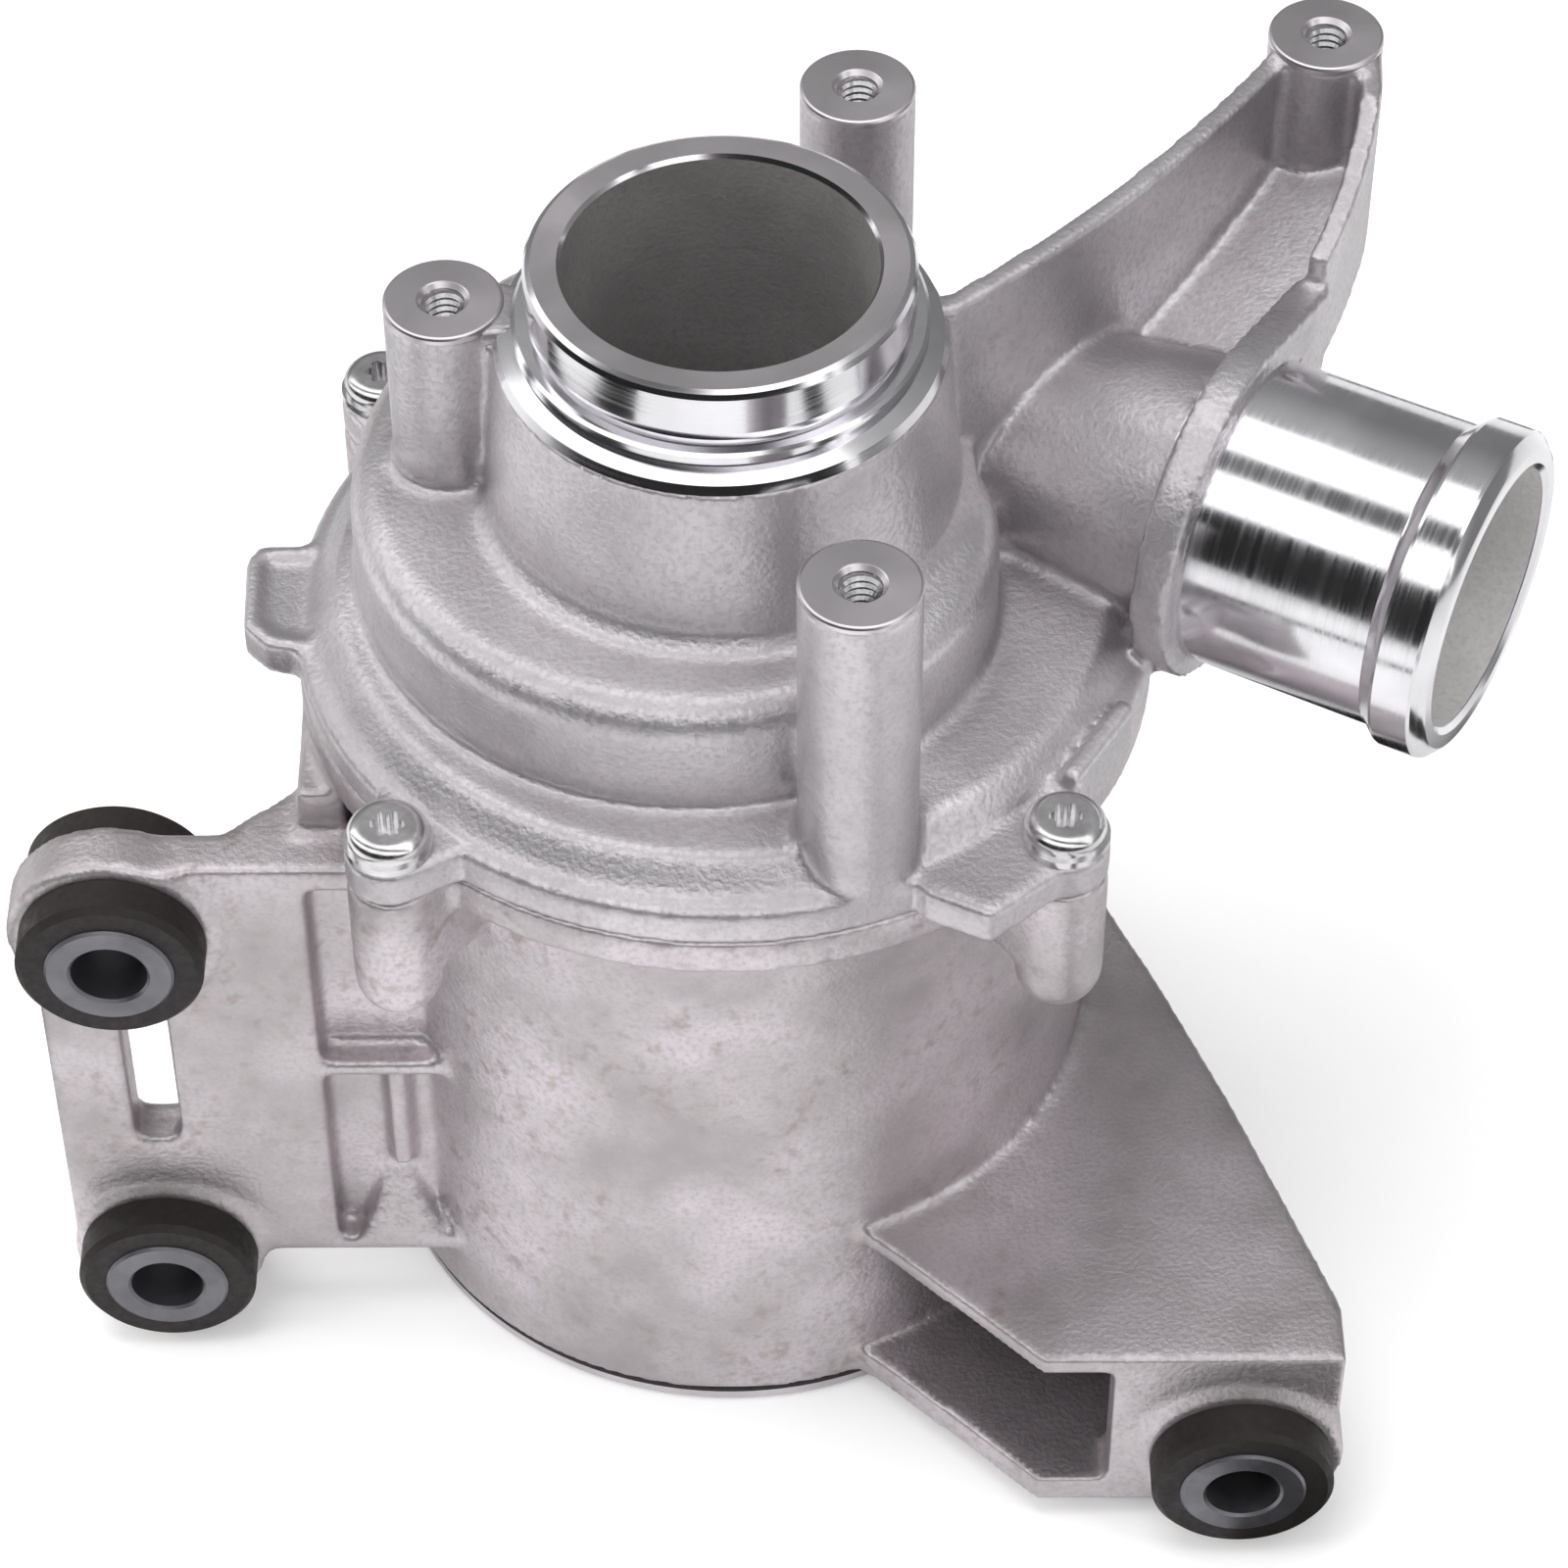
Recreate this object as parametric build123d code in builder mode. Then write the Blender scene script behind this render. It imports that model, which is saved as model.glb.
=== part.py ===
"""Electric coolant pump for an engine, in millimetres.

The pump axis is the Z axis and the inlet neck points up.  Z = 0 is the flat
underside of the motor.  +X is towards the outlet hose, -Y is the side with
the two front cover screws.
"""
import math
import os

from build123d import *

os.makedirs("parts", exist_ok=True)

# heights of the main levels
joint_z = 96.0
mount_plane_z = 144.8
neck_top_z = 154.5

# motor housing
motor_r = 45.6
motor_wall = 3.6
flange_r = 51.6
housing_flange_t = 4.8
flange_taper_h = 4.6
flange_taper_w = 2.6
base_chamfer = 0.6
stator_seat_z = 29.0

# cover screws
screw_pcd_r = 55.8
screw_angles = (-45.3, -133.6, 140.0, 47.0)
screw_lug_r = 5.3
screw_thread_r = 2.5
screw_clear_r = 2.8
screw_clear_gap = 0.3
screw_head_r = 4.8
screw_head_h = 3.4
screw_boss_drop = 16.5
screw_engage = 14.0
screw_washer_r = 5.2
screw_washer_t = 0.9
screw_head_round = 1.6
screw_web_drop = 14.0
drive_r = 1.5
drive_lobe_r = 0.6
drive_depth = 1.9
drive_lobes = 6

# pump cover
cover_flange_t = 5.4
ledge_r = 47.0
ledge_z = 105.4
volute_top_z = 120.6
volute_start_r = 31.0
volute_growth = 19.0
volute_start_angle = 5.0
volute_sweep = 304.0
volute_power = 0.75
volute_wall = 3.2
volute_round = 4.5
channel_floor_z = 98.6
channel_roof_z = 116.6

# inlet neck
neck_bore_r = 18.2
neck_rim_r = 21.5
neck_land_r = 22.4
neck_second_r = 23.9
neck_shoulder_r = 25.7
neck_groove_depth = 0.8
neck_cast_r = 26.1
neck_foot_r = 27.9
neck_land_z = 148.6
neck_groove_w = 1.9
neck_second_z = 145.0
neck_cast_z = 142.6
neck_rim_chamfer = 1.0
inlet_lip_r = 15.4
inlet_lip_z = 114.4
inlet_cone_z = 120.0

# threaded bosses on the mounting plane
boss_r = 7.0
boss_spots = ((16.2, 42.3), (-31.9, 4.5), (15.3, -41.9))
arm_boss_spot = (73.0, 51.8)
thread_r = 2.5
thread_depths = (20.0, 18.0, 22.0)
arm_thread_depth = 14.0

# outlet spigot
outlet_angle = -28.8
outlet_offset = 32.5
outlet_z = 112.0
outlet_end = 84.6
spigot_r = 18.75
spigot_bore_r = 16.2
spigot_length = 32.0
bead_r = 20.4
bead_length = 8.0
bead_flat = 4.8
spigot_chamfer = 1.4
collar_r = 21.4
collar_t = 4.8
collar_ear = (21.5, 14.5)
throat_r = 8.5
throat_along = -1.0
throat_offset = 35.0
throat_z = 107.8
diffuser_r = 13.5
diffuser_along = 46.0
hump_wall = 3.5

# mounting arm on the cover
arm_wall = 2.6
arm_rim_z = 143.6
arm_floor_boss_z = 130.0
arm_floor_volute_z = 112.0
arm_under_boss_z = 120.0
arm_under_volute_z = 106.0
arm_rear_line = ((25.4, 4.2), (47.6, 24.6), (68.7, 51.5))
arm_side_line = ((78.4, 51.0), (76.6, 37.0), (70.6, 23.8))
arm_side_low_z = 133.0
arm_clear = 12.6

# left tab on the cover flange
tab_points = ((-46.0, 9.0), (-56.4, 9.0), (-58.0, 6.4), (-57.6, -5.0), (-54.6, -8.2), (-46.0, -9.6))
tab_round = 1.2
tab_rim = 1.8
tab_pocket_depth = 1.0

# angular plate beside the right front screw
lug_plate_points = ((22.0, -46.6), (23.2, -48.4), (30.4, -51.8), (38.6, -44.9), (34.0, -38.0))

# small rib on the cover flange, towards the outlet
flange_rib_line = ((47.3, -20.5), (39.8, -32.5))
flange_rib_w = 2.4
flange_rib_top_z = 104.0

# rubber bushed ears: centre x, centre z, front face of the sleeve in y
upper_ear = (-73.7, 73.7)
lower_ear = (-72.2, 12.8)
left_sleeve_front_y = -36.5
right_ear = (63.4, 13.2)
right_sleeve_front_y = -69.7
bush_length = 18.5
sleeve_r = 7.8
sleeve_bore_r = 4.6
rubber_r = 11.3
rubber_neck_r = 9.6
ear_t = 7.6
ear_r = 12.8
lower_ear_r = 12.2
rubber_chamfer = 0.8
rubber_inset = 0.5
relief_gap = 0.7
sleeve_chamfer = 0.35

# left bracket plate
plate_left_x = -84.0
plate_inner_x = -33.2
plate_top_z = 85.0
plate_bottom_z = 11.7
ring_proud = 1.0
recess_left_x = -50.4
recess_floor_t = 2.6
recess_bottom_z = 14.0
recess_top_z = 81.0
rib_t = 2.6
shelf_z = 47.9
slot_left_x = -74.6
slot_right_x = -68.8
slot_bottom_z = 34.5
slot_top_z = 59.0
plate_rib_x = -41.4
plate_rib_bottom_z = 27.0
gusset_left_x = -48.6
gusset_width = 13.2
gusset_apex_x = -42.4
rear_web_left_x = -51.0
rear_web_t = 6.0
rear_web_back_y = -4.0
rear_web_bottom_z = 50.0
top_rib_points = ((-62.0, -25.0), (-50.0, -25.0), (-50.0, -15.0))

# right bracket arm
web_plan = (
    (13.0, -40.0),
    (21.8, -47.7),
    (38.3, -63.2),
    (75.2, -63.2),
    (75.2, -54.5),
    (63.7, -22.6),
    (55.5, -2.3),
    (49.0, 12.0),
    (38.0, 20.0),
)
web_pocket_plan = (
    (4.0, -30.0),
    (4.0, -75.0),
    (72.0, -75.0),
    (72.0, -55.5),
    (60.8, -23.8),
    (52.6, -3.4),
    (46.4, 8.0),
    (34.0, 16.0),
)
web_top_z = 32.2
web_t = 2.8
web_low_top_z = 7.2
web_low_z = 3.0
post_left_x = 47.2
post_right_x = 75.2
post_top_z = 32.2
post_bottom_z = 2.6

# electric motor inside
stator_r = 42.0
stator_bore_r = 22.0
stator_length = 36.0
slot_count = 12
tooth_w = 6.0
tooth_tip_w = 9.0
tooth_tip_t = 1.6
yoke_t = 3.4
coil_t = 2.6
coil_in_r = 25.2
coil_out_r = 36.0
coil_corner = 1.4
insulator_t = 1.2
insulator_r = 38.6
insulator_ring_t = 2.0
can_wall = 0.8
can_flange_t = 2.5
can_flange_r = 44.6
can_bottom_z = 22.0
can_bottom_t = 2.0
can_boss_r = 7.6
can_boss_h = 3.0
rotor_gap = 0.6
rotor_z = 29.0
rotor_end_t = 1.6
rotor_length = 37.0
rotor_skin = 0.7
magnet_count = 8
magnet_t = 3.6
magnet_gap_angle = 3.0
shaft_r = 4.0
shaft_tail = 1.0
running_gap = 0.05
bush_wall = 3.9
rear_bush_length = 16.0
front_bush_z = 88.0
tube_wall = 3.2
seat_gap = 0.05
lead_r = 0.8
lead_spot_r = 30.6
lead_count = 3

# impeller
impeller_r = 25.0
impeller_gap = 1.5
impeller_z = 98.4
impeller_plate_t = 2.0
impeller_hub_r = 12.0
impeller_nose_r = 9.6
impeller_eye_r = 14.6
impeller_ring_t = 1.6
impeller_shroud_t = 1.6
vane_h = 6.4
vane_count = 7
vane_t = 1.5
vane_in_r = 12.6
vane_mid_r = 18.0
vane_out_r = 24.3
vane_mid_turn = 24.0
vane_turn = 62.0
eye_ring_h = 5.0
hub_top_z = 104.0
washer_t = 1.2
rear_washer_r = 7.4
front_washer_r = 6.6
nut_h = 4.5
nut_r = 5.6

# electronics and the closing plate
end_plate_r = 45.0
end_plate_t = 1.2
end_gasket_t = 0.8
end_gasket_in_r = 42.3
end_step_r = 41.8
end_step_t = 3.0
end_floor_t = 2.4
end_pocket_r = 33.0
bay_ledge_z = 24.0
bay_ledge_r = 39.0
board_z = 11.0
board_t = 1.6
board_r = 34.0
pillar_r = 3.0
pillar_spot_r = 28.5
pillar_pin_r = 1.2
pillar_count = 3
end_screw_count = 6
end_screw_spot_r = 38.6
end_screw_r = 1.5
end_screw_head_r = 2.9
end_screw_reach = 12.0
end_screw_boss_r = 4.0
capacitor_spots = ((-16.0, 14.0), (-16.0, -14.0), (4.0, 26.0))
capacitor_r = 5.0
capacitor_h = 8.5
switch_spots = ((20.0, -13.0), (20.0, 0.0), (20.0, 13.0))
switch_size = (9.0, 9.0, 3.0)
oring_r = 1.25

# electrical connector at the back
plug_length = 14.0
plug_width = 22.0
plug_height = 12.0
plug_wall = 1.6
plug_flange_w = 34.0
plug_flange_h = 16.0
plug_flange_t = 2.6
plug_face_y = 47.6
plug_neck_w = 17.0
plug_neck_h = 6.0
plug_inner_y = 37.0
pin_spots = (-5.4, 0.0, 5.4)
pin_w = 2.4
pin_t = 0.8
pin_inner_y = 31.8
pin_short = 5.6
plug_screw_x = 14.1
plug_screw_r = 1.5
plug_screw_head_r = 2.6
plug_screw_head_h = 1.8
plug_screw_reach = 6.0

# values that follow from the ones above
housing_base_z = end_plate_t + end_gasket_t
housing_bore_r = motor_r - motor_wall
cover_flange_top = joint_z + cover_flange_t
ring_front_y = left_sleeve_front_y + (bush_length - ear_t) / 2
plate_front_y = ring_front_y + ring_proud
plate_back_y = ring_front_y + ear_t
right_ring_y = right_sleeve_front_y + (bush_length - ear_t) / 2
stator_top_z = stator_seat_z + stator_length
can_r = stator_bore_r - seat_gap
can_bore_r = can_r - can_wall
can_floor_z = can_bottom_z + can_bottom_t
can_boss_top_z = can_floor_z + can_boss_h
gland_r = can_flange_r + 2 * oring_r + 2 * seat_gap
rotor_r = can_bore_r - rotor_gap
bush_r = shaft_r + running_gap + bush_wall
rotor_bore_r = bush_r + seat_gap
magnet_out_r = rotor_r - rotor_skin - seat_gap
magnet_in_r = magnet_out_r - magnet_t
rotor_top_z = rotor_z + rotor_length
plate_top = impeller_z + impeller_plate_t
shroud_z = plate_top + vane_h
chamber_r = impeller_r + impeller_gap
rear_bush_z = can_boss_top_z + washer_t
nut_z = hub_top_z + washer_t
pin_z = board_z + board_t + pin_t / 2
step_top_z = end_plate_t + end_step_t
outlet_direction = Vector(math.cos(math.radians(outlet_angle)), math.sin(math.radians(outlet_angle)), 0)
outlet_side = Vector(-outlet_direction.Y, outlet_direction.X, 0)


def polar(radius, angle):
    """A plan point at a radius and an angle in degrees."""
    return (radius * math.cos(math.radians(angle)), radius * math.sin(math.radians(angle)))


def volute_radius(turned):
    """Outer radius of the volute after so many degrees of clockwise turn."""
    return volute_start_r + volute_growth * (turned / volute_sweep) ** volute_power


def outlet_plane(along, offset=outlet_offset, height=outlet_z):
    """A plane square to the outlet axis, at a distance along it."""
    centre = outlet_direction * along + outlet_side * offset + Vector(0, 0, height)
    return Plane(origin=centre, x_dir=outlet_side, z_dir=outlet_direction)


screw_points = [polar(screw_pcd_r, angle) for angle in screw_angles]
spiral_steps = 14
spiral_turns = [volute_sweep * step / spiral_steps for step in range(spiral_steps + 1)]


def spiral_points(inset):
    """Plan points of the volute's outer wall, moved inwards by a wall."""
    return [polar(volute_radius(t) - inset, volute_start_angle - t) for t in spiral_turns]


# the spiral volute block that stands on the cover flange
with BuildPart() as volute:
    with BuildSketch(Plane.XY.offset(joint_z)) as volute_plan:
        with BuildLine():
            outer_wall = Spline(*spiral_points(0))
            Polyline(outer_wall @ 1, (0, 0), outer_wall @ 0)
        make_face()
    extrude(amount=volute_top_z - joint_z)
    wall_edges = volute.edges().filter_by(GeomType.BSPLINE).sort_by(Axis.Z)
    fillet(wall_edges[-1], radius=volute_round)

# the spiral water channel inside the volute
with BuildPart() as channel:
    with BuildSketch(Plane.XY.offset(channel_floor_z)) as channel_plan:
        with BuildLine():
            inner_wall = Spline(*spiral_points(volute_wall))
            Polyline(inner_wall @ 1, (0, 0), inner_wall @ 0)
        make_face()
        Circle(chamber_r - 1.0, mode=Mode.SUBTRACT)
    extrude(amount=channel_roof_z - channel_floor_z)

# the arm that carries the fourth threaded boss: two thin walls and a sloping floor
arm_line = Vector(*arm_boss_spot, 0).normalized()
arm_reach = Vector(*arm_boss_spot, 0).length
arm_side_plane = Plane(origin=(0, 0, 0), x_dir=arm_line, z_dir=arm_line.rotate(Axis.Z, -90))
collar_face = outlet_end - spigot_length
arm_inner_point = outlet_direction * (collar_face - arm_wall) + outlet_side * (outlet_offset - boss_r)

with BuildPart() as arm_floor:
    with BuildSketch(arm_side_plane) as floor_side:
        with BuildLine():
            Polyline(
                (chamber_r, arm_under_volute_z),
                (arm_reach, arm_under_volute_z),
                (arm_reach, arm_floor_boss_z),
                (chamber_r, arm_floor_volute_z),
                close=True,
            )
        make_face()
    extrude(amount=arm_reach, both=True)
    with BuildSketch(Plane.XY.offset(arm_under_volute_z)) as floor_plan:
        with BuildLine():
            rear_edge = ThreePointArc(*arm_rear_line)
            side_edge = ThreePointArc(*arm_side_line)
            Line(rear_edge @ 1, side_edge @ 0)
            Polyline(side_edge @ 1, (arm_inner_point.X, arm_inner_point.Y), rear_edge @ 0)
        make_face()
    extrude(amount=arm_rim_z - arm_under_volute_z, mode=Mode.INTERSECT)

with BuildPart() as arm:
    for wall_line in (arm_rear_line, arm_side_line):
        with BuildSketch(Plane.XY.offset(arm_under_volute_z)) as wall_plan:
            with BuildLine():
                ThreePointArc(*wall_line)
            trace(line_width=arm_wall)
        extrude(amount=arm_rim_z - arm_under_volute_z)
    add(arm_floor.part)
    with BuildSketch(Plane.XY.offset(arm_under_volute_z)) as arm_column:
        with Locations(arm_boss_spot):
            Circle(boss_r)
    extrude(amount=mount_plane_z - arm_under_volute_z)

    # the underside rises outwards
    with BuildSketch(arm_side_plane) as wedge_side:
        with BuildLine():
            Polyline(
                (flange_r, arm_under_volute_z),
                (arm_reach + 2 * boss_r, arm_under_volute_z),
                (arm_reach + 2 * boss_r, arm_under_boss_z),
                (arm_reach - boss_r, arm_under_boss_z),
                close=True,
            )
        make_face()
    extrude(amount=arm_reach, both=True, mode=Mode.SUBTRACT)

    # the rim of the side wall falls towards the outlet collar
    low_t = Vector(*arm_side_line[2], 0).dot(outlet_side)
    high_t = Vector(*arm_boss_spot, 0).dot(outlet_side) - boss_r
    with BuildSketch(outlet_plane(collar_face - arm_clear, 0, 0)) as rim_wedge:
        with BuildLine():
            Polyline(
                (outlet_offset, arm_side_low_z),
                (low_t, arm_side_low_z),
                (high_t, arm_rim_z),
                (high_t, mount_plane_z),
                (outlet_offset, mount_plane_z),
                close=True,
            )
        make_face()
    extrude(amount=2 * arm_clear, mode=Mode.SUBTRACT)

with BuildPart() as pump_cover:
    # flange, ledge and neck, turned about the pump axis
    with BuildSketch(Plane.XZ) as cover_profile:
        with BuildLine():
            Polyline(
                (0, joint_z),
                (flange_r, joint_z),
                (flange_r, cover_flange_top - 1.0),
                (flange_r - 1.0, cover_flange_top),
                (flange_r - 2.0, cover_flange_top),
                (ledge_r, ledge_z - 1.0),
                (ledge_r - 1.0, ledge_z),
                (neck_foot_r + 2.0, ledge_z),
                (neck_foot_r + 2.0, volute_top_z),
                (neck_foot_r, volute_top_z + 2.0),
                (neck_cast_r, neck_cast_z),
                (neck_shoulder_r, neck_cast_z + 1.2),
                (neck_second_r + 0.2, neck_second_z - 0.7),
                (neck_second_r - neck_groove_depth, neck_second_z - 0.4),
                (neck_second_r - neck_groove_depth, neck_second_z),
                (neck_second_r, neck_second_z),
                (neck_second_r, neck_land_z - neck_groove_w),
                (neck_land_r - neck_groove_depth, neck_land_z - neck_groove_w),
                (neck_land_r - neck_groove_depth, neck_land_z),
                (neck_land_r, neck_land_z),
                (neck_land_r, neck_top_z - neck_rim_chamfer),
                (neck_rim_r, neck_top_z),
                (0, neck_top_z),
                close=True,
            )
        make_face()
    revolve(axis=Axis.Z)
    add(volute.part)

    # screw lugs and the left tab
    for point in screw_points:
        with BuildSketch(Plane.XY.offset(joint_z)) as lug:
            with Locations(point):
                Circle(screw_lug_r)
            inward = Vector(*point).normalized() * (flange_r - screw_lug_r)
            with Locations((inward.X, inward.Y)):
                Circle(screw_lug_r * 1.5)
            make_hull()
        extrude(amount=cover_flange_t)
    with BuildSketch(Plane.XY.offset(cover_flange_top)) as tab:
        with BuildLine():
            Polyline(*tab_points, close=True)
        make_face()
        fillet(tab.vertices(), radius=tab_round)
    extrude(amount=joint_z - cover_flange_top)
    with BuildSketch(Plane.XY.offset(cover_flange_top)) as tab_pocket:
        add(tab.sketch)
        offset(amount=-tab_rim, kind=Kind.INTERSECTION)
    extrude(amount=-tab_pocket_depth, mode=Mode.SUBTRACT)

    # angular plate beside the right front screw, and the rib beside it
    with BuildSketch(Plane.XY.offset(joint_z)) as lug_plate:
        with BuildLine():
            Polyline(*lug_plate_points, close=True)
        make_face()
    extrude(amount=cover_flange_t)
    with BuildSketch(Plane.XY.offset(joint_z)) as flange_rib:
        with BuildLine():
            Line(*flange_rib_line)
        trace(line_width=flange_rib_w)
    extrude(amount=flange_rib_top_z - joint_z)

    # outlet hump, collar and beaded spigot
    with BuildSketch(outlet_plane(throat_along, throat_offset, throat_z)) as hump_start:
        Circle(throat_r + hump_wall)
    with BuildSketch(outlet_plane(collar_face - collar_t)) as hump_end:
        Circle(diffuser_r + hump_wall)
    loft(sections=[hump_start.sketch, hump_end.sketch])
    with BuildSketch(outlet_plane(collar_face - collar_t)) as collar:
        Circle(collar_r)
        with Locations(collar_ear):
            Circle(arm_wall)
        make_hull()
    extrude(amount=collar_t)
    with BuildSketch(Plane(origin=outlet_plane(0).origin, x_dir=outlet_direction, z_dir=Vector(0, 0, 1))) as spigot:
        with BuildLine():
            Polyline(
                (collar_face - collar_t, 0),
                (collar_face - collar_t, spigot_r),
                (outlet_end - bead_length, spigot_r),
                (outlet_end - spigot_chamfer - bead_flat, bead_r),
                (outlet_end - spigot_chamfer, bead_r),
                (outlet_end, spigot_r),
                (outlet_end, 0),
                close=True,
            )
        make_face()
    revolve(axis=Axis(outlet_plane(0).origin, outlet_direction))

    add(arm.part)

    # threaded bosses, all faced to the same mounting plane
    with BuildSketch(Plane.XY.offset(joint_z)) as boss_feet:
        with Locations(*boss_spots):
            Circle(boss_r)
    extrude(amount=mount_plane_z - joint_z)

    # inlet bore and impeller chamber
    with BuildSketch(Plane.XZ) as inlet_profile:
        with BuildLine():
            Polyline(
                (0, joint_z),
                (can_flange_r - 2.5, joint_z),
                (can_flange_r - 2.5, channel_floor_z),
                (chamber_r, channel_floor_z),
                (chamber_r, shroud_z + impeller_shroud_t + impeller_gap),
                (impeller_eye_r + impeller_ring_t + 0.5, shroud_z + impeller_shroud_t + impeller_gap),
                (impeller_eye_r + impeller_ring_t + 0.5, inlet_lip_z),
                (inlet_lip_r, inlet_lip_z),
                (inlet_lip_r, inlet_lip_z + 2.0),
                (neck_bore_r, inlet_cone_z),
                (neck_bore_r, neck_top_z),
                (0, neck_top_z),
                close=True,
            )
        make_face()
    revolve(axis=Axis.Z, mode=Mode.SUBTRACT)
    add(channel.part, mode=Mode.SUBTRACT)

    # outlet passage: a widening throat, then the spigot bore
    with BuildSketch(outlet_plane(throat_along, throat_offset, throat_z)) as throat:
        Circle(throat_r)
    with BuildSketch(outlet_plane(diffuser_along)) as diffuser:
        Circle(diffuser_r)
    loft(sections=[throat.sketch, diffuser.sketch], mode=Mode.SUBTRACT)
    with BuildSketch(outlet_plane(diffuser_along)) as outlet_bore:
        Circle(spigot_bore_r)
    extrude(amount=outlet_end - diffuser_along, mode=Mode.SUBTRACT)

    # room for the housing flange below the joint
    with BuildSketch(Plane.XY.offset(joint_z)) as flange_room:
        Circle(flange_r + 2 * screw_clear_gap)
    extrude(amount=-collar_r, mode=Mode.SUBTRACT)

    # tapped holes in the bosses, and clearance holes for the cover screws
    tapped_spots = boss_spots + (arm_boss_spot,)
    for spot, depth in zip(tapped_spots, thread_depths + (arm_thread_depth,)):
        with BuildSketch(Plane.XY.offset(mount_plane_z)) as tapping:
            with Locations(spot):
                Circle(thread_r)
        extrude(amount=-depth, mode=Mode.SUBTRACT)
    with BuildSketch(Plane.XY.offset(joint_z)) as clearance:
        with Locations(*screw_points):
            Circle(screw_clear_r)
    extrude(amount=cover_flange_t + screw_head_h, mode=Mode.SUBTRACT)

pump_cover.part.label = "pump_cover"
export_step(pump_cover.part, "parts/pump_cover.step")

# three-sided gusset that leans against the recess of the left plate
with BuildPart() as gusset:
    with BuildSketch(Plane.YZ.offset(gusset_left_x)) as gusset_side:
        with BuildLine():
            Polyline(
                (plate_back_y - recess_floor_t, plate_rib_bottom_z),
                (plate_back_y - recess_floor_t, plate_bottom_z),
                (plate_front_y, plate_bottom_z),
                (plate_front_y, recess_bottom_z),
                close=True,
            )
        make_face()
    extrude(amount=gusset_width)
    with BuildSketch(Plane.XZ.offset(-plate_back_y)) as gusset_face:
        with BuildLine():
            Polyline(
                (gusset_left_x, plate_bottom_z),
                (gusset_left_x + gusset_width, plate_bottom_z),
                (gusset_apex_x, plate_rib_bottom_z),
                close=True,
            )
        make_face()
    extrude(amount=plate_back_y - plate_front_y, mode=Mode.INTERSECT)

# left bracket plate with its two eyes, slot, recess and ribs
with BuildPart() as plate:
    with BuildSketch(Plane.XZ.offset(-plate_back_y)) as plate_face:
        with BuildLine():
            Polyline(
                (plate_left_x, lower_ear[1]),
                (plate_left_x, upper_ear[1]),
                (upper_ear[0], plate_top_z),
                (plate_inner_x, plate_top_z),
                (plate_inner_x, plate_bottom_z),
                (lower_ear[0], plate_bottom_z),
                close=True,
            )
        make_face()
    extrude(amount=plate_back_y - plate_front_y)
    with BuildSketch(Plane.XZ.offset(-plate_back_y)) as plate_rings:
        with Locations(upper_ear):
            Circle(ear_r)
        with Locations(lower_ear):
            Circle(lower_ear_r)
    extrude(amount=ear_t)

    # shallow recess beside the motor, with a shelf, a rib and a sloping gusset
    recess_depth_y = plate_back_y - recess_floor_t - plate_front_y
    with BuildSketch(Plane.XZ.offset(-plate_front_y)) as recess:
        with Locations(((recess_left_x + plate_inner_x) / 2, (recess_bottom_z + recess_top_z) / 2)):
            Rectangle(plate_inner_x - recess_left_x, recess_top_z - recess_bottom_z)
        with Locations(((recess_left_x + plate_inner_x) / 2, shelf_z)):
            Rectangle(plate_inner_x - recess_left_x, rib_t, mode=Mode.SUBTRACT)
    extrude(amount=-recess_depth_y, mode=Mode.SUBTRACT)
    with BuildSketch(Plane.XZ.offset(recess_floor_t - plate_back_y)) as upright:
        with Locations((plate_rib_x, (plate_rib_bottom_z + shelf_z) / 2)):
            Rectangle(rib_t, shelf_z - plate_rib_bottom_z)
    extrude(amount=recess_depth_y / 2)
    add(gusset.part)
    with BuildSketch(Plane.XZ.offset(-plate_front_y)) as slot:
        with Locations(((slot_left_x + slot_right_x) / 2, (slot_bottom_z + slot_top_z) / 2)):
            RectangleRounded(slot_right_x - slot_left_x, slot_top_z - slot_bottom_z, rib_t / 2)
    extrude(amount=-ear_t, mode=Mode.SUBTRACT)

    # web behind the plate and the small rib at its top
    with BuildSketch(Plane.XY.offset(rear_web_bottom_z)) as rear_web:
        with Locations((rear_web_left_x, plate_back_y)):
            Rectangle(rear_web_t, rear_web_back_y - plate_back_y, align=(Align.MIN, Align.MIN))
    extrude(amount=joint_z - housing_flange_t - rear_web_bottom_z)
    with BuildSketch(Plane.XY.offset(plate_top_z)) as top_rib:
        with BuildLine():
            Polyline(*top_rib_points, close=True)
        make_face()
    extrude(amount=-rib_t)

# right bracket arm: two webs, an outer wall and a front post with the third eye
with BuildPart() as right_arm:
    with BuildSketch(Plane.XY.offset(web_low_z)) as webs:
        with BuildLine():
            Polyline(*web_plan, close=True)
        make_face()
    extrude(amount=web_top_z - web_low_z)
    with BuildSketch(Plane.XY.offset(web_low_top_z)) as web_pocket:
        with BuildLine():
            Polyline(*web_pocket_plan, close=True)
        make_face()
    extrude(amount=web_top_z - web_t - web_low_top_z, mode=Mode.SUBTRACT)
    with BuildSketch(Plane.XZ.offset(-(right_ring_y + ear_t))) as post:
        with BuildLine():
            Polyline(
                (post_left_x, post_bottom_z),
                (post_right_x, post_bottom_z),
                (post_right_x, post_top_z),
                (post_left_x, post_top_z),
                close=True,
            )
        make_face()
    extrude(amount=ear_t - ring_proud)
    with BuildSketch(Plane.XZ.offset(-(right_ring_y + ear_t))) as post_ring:
        with Locations(right_ear):
            Circle(ear_r)
    extrude(amount=ear_t)

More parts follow.
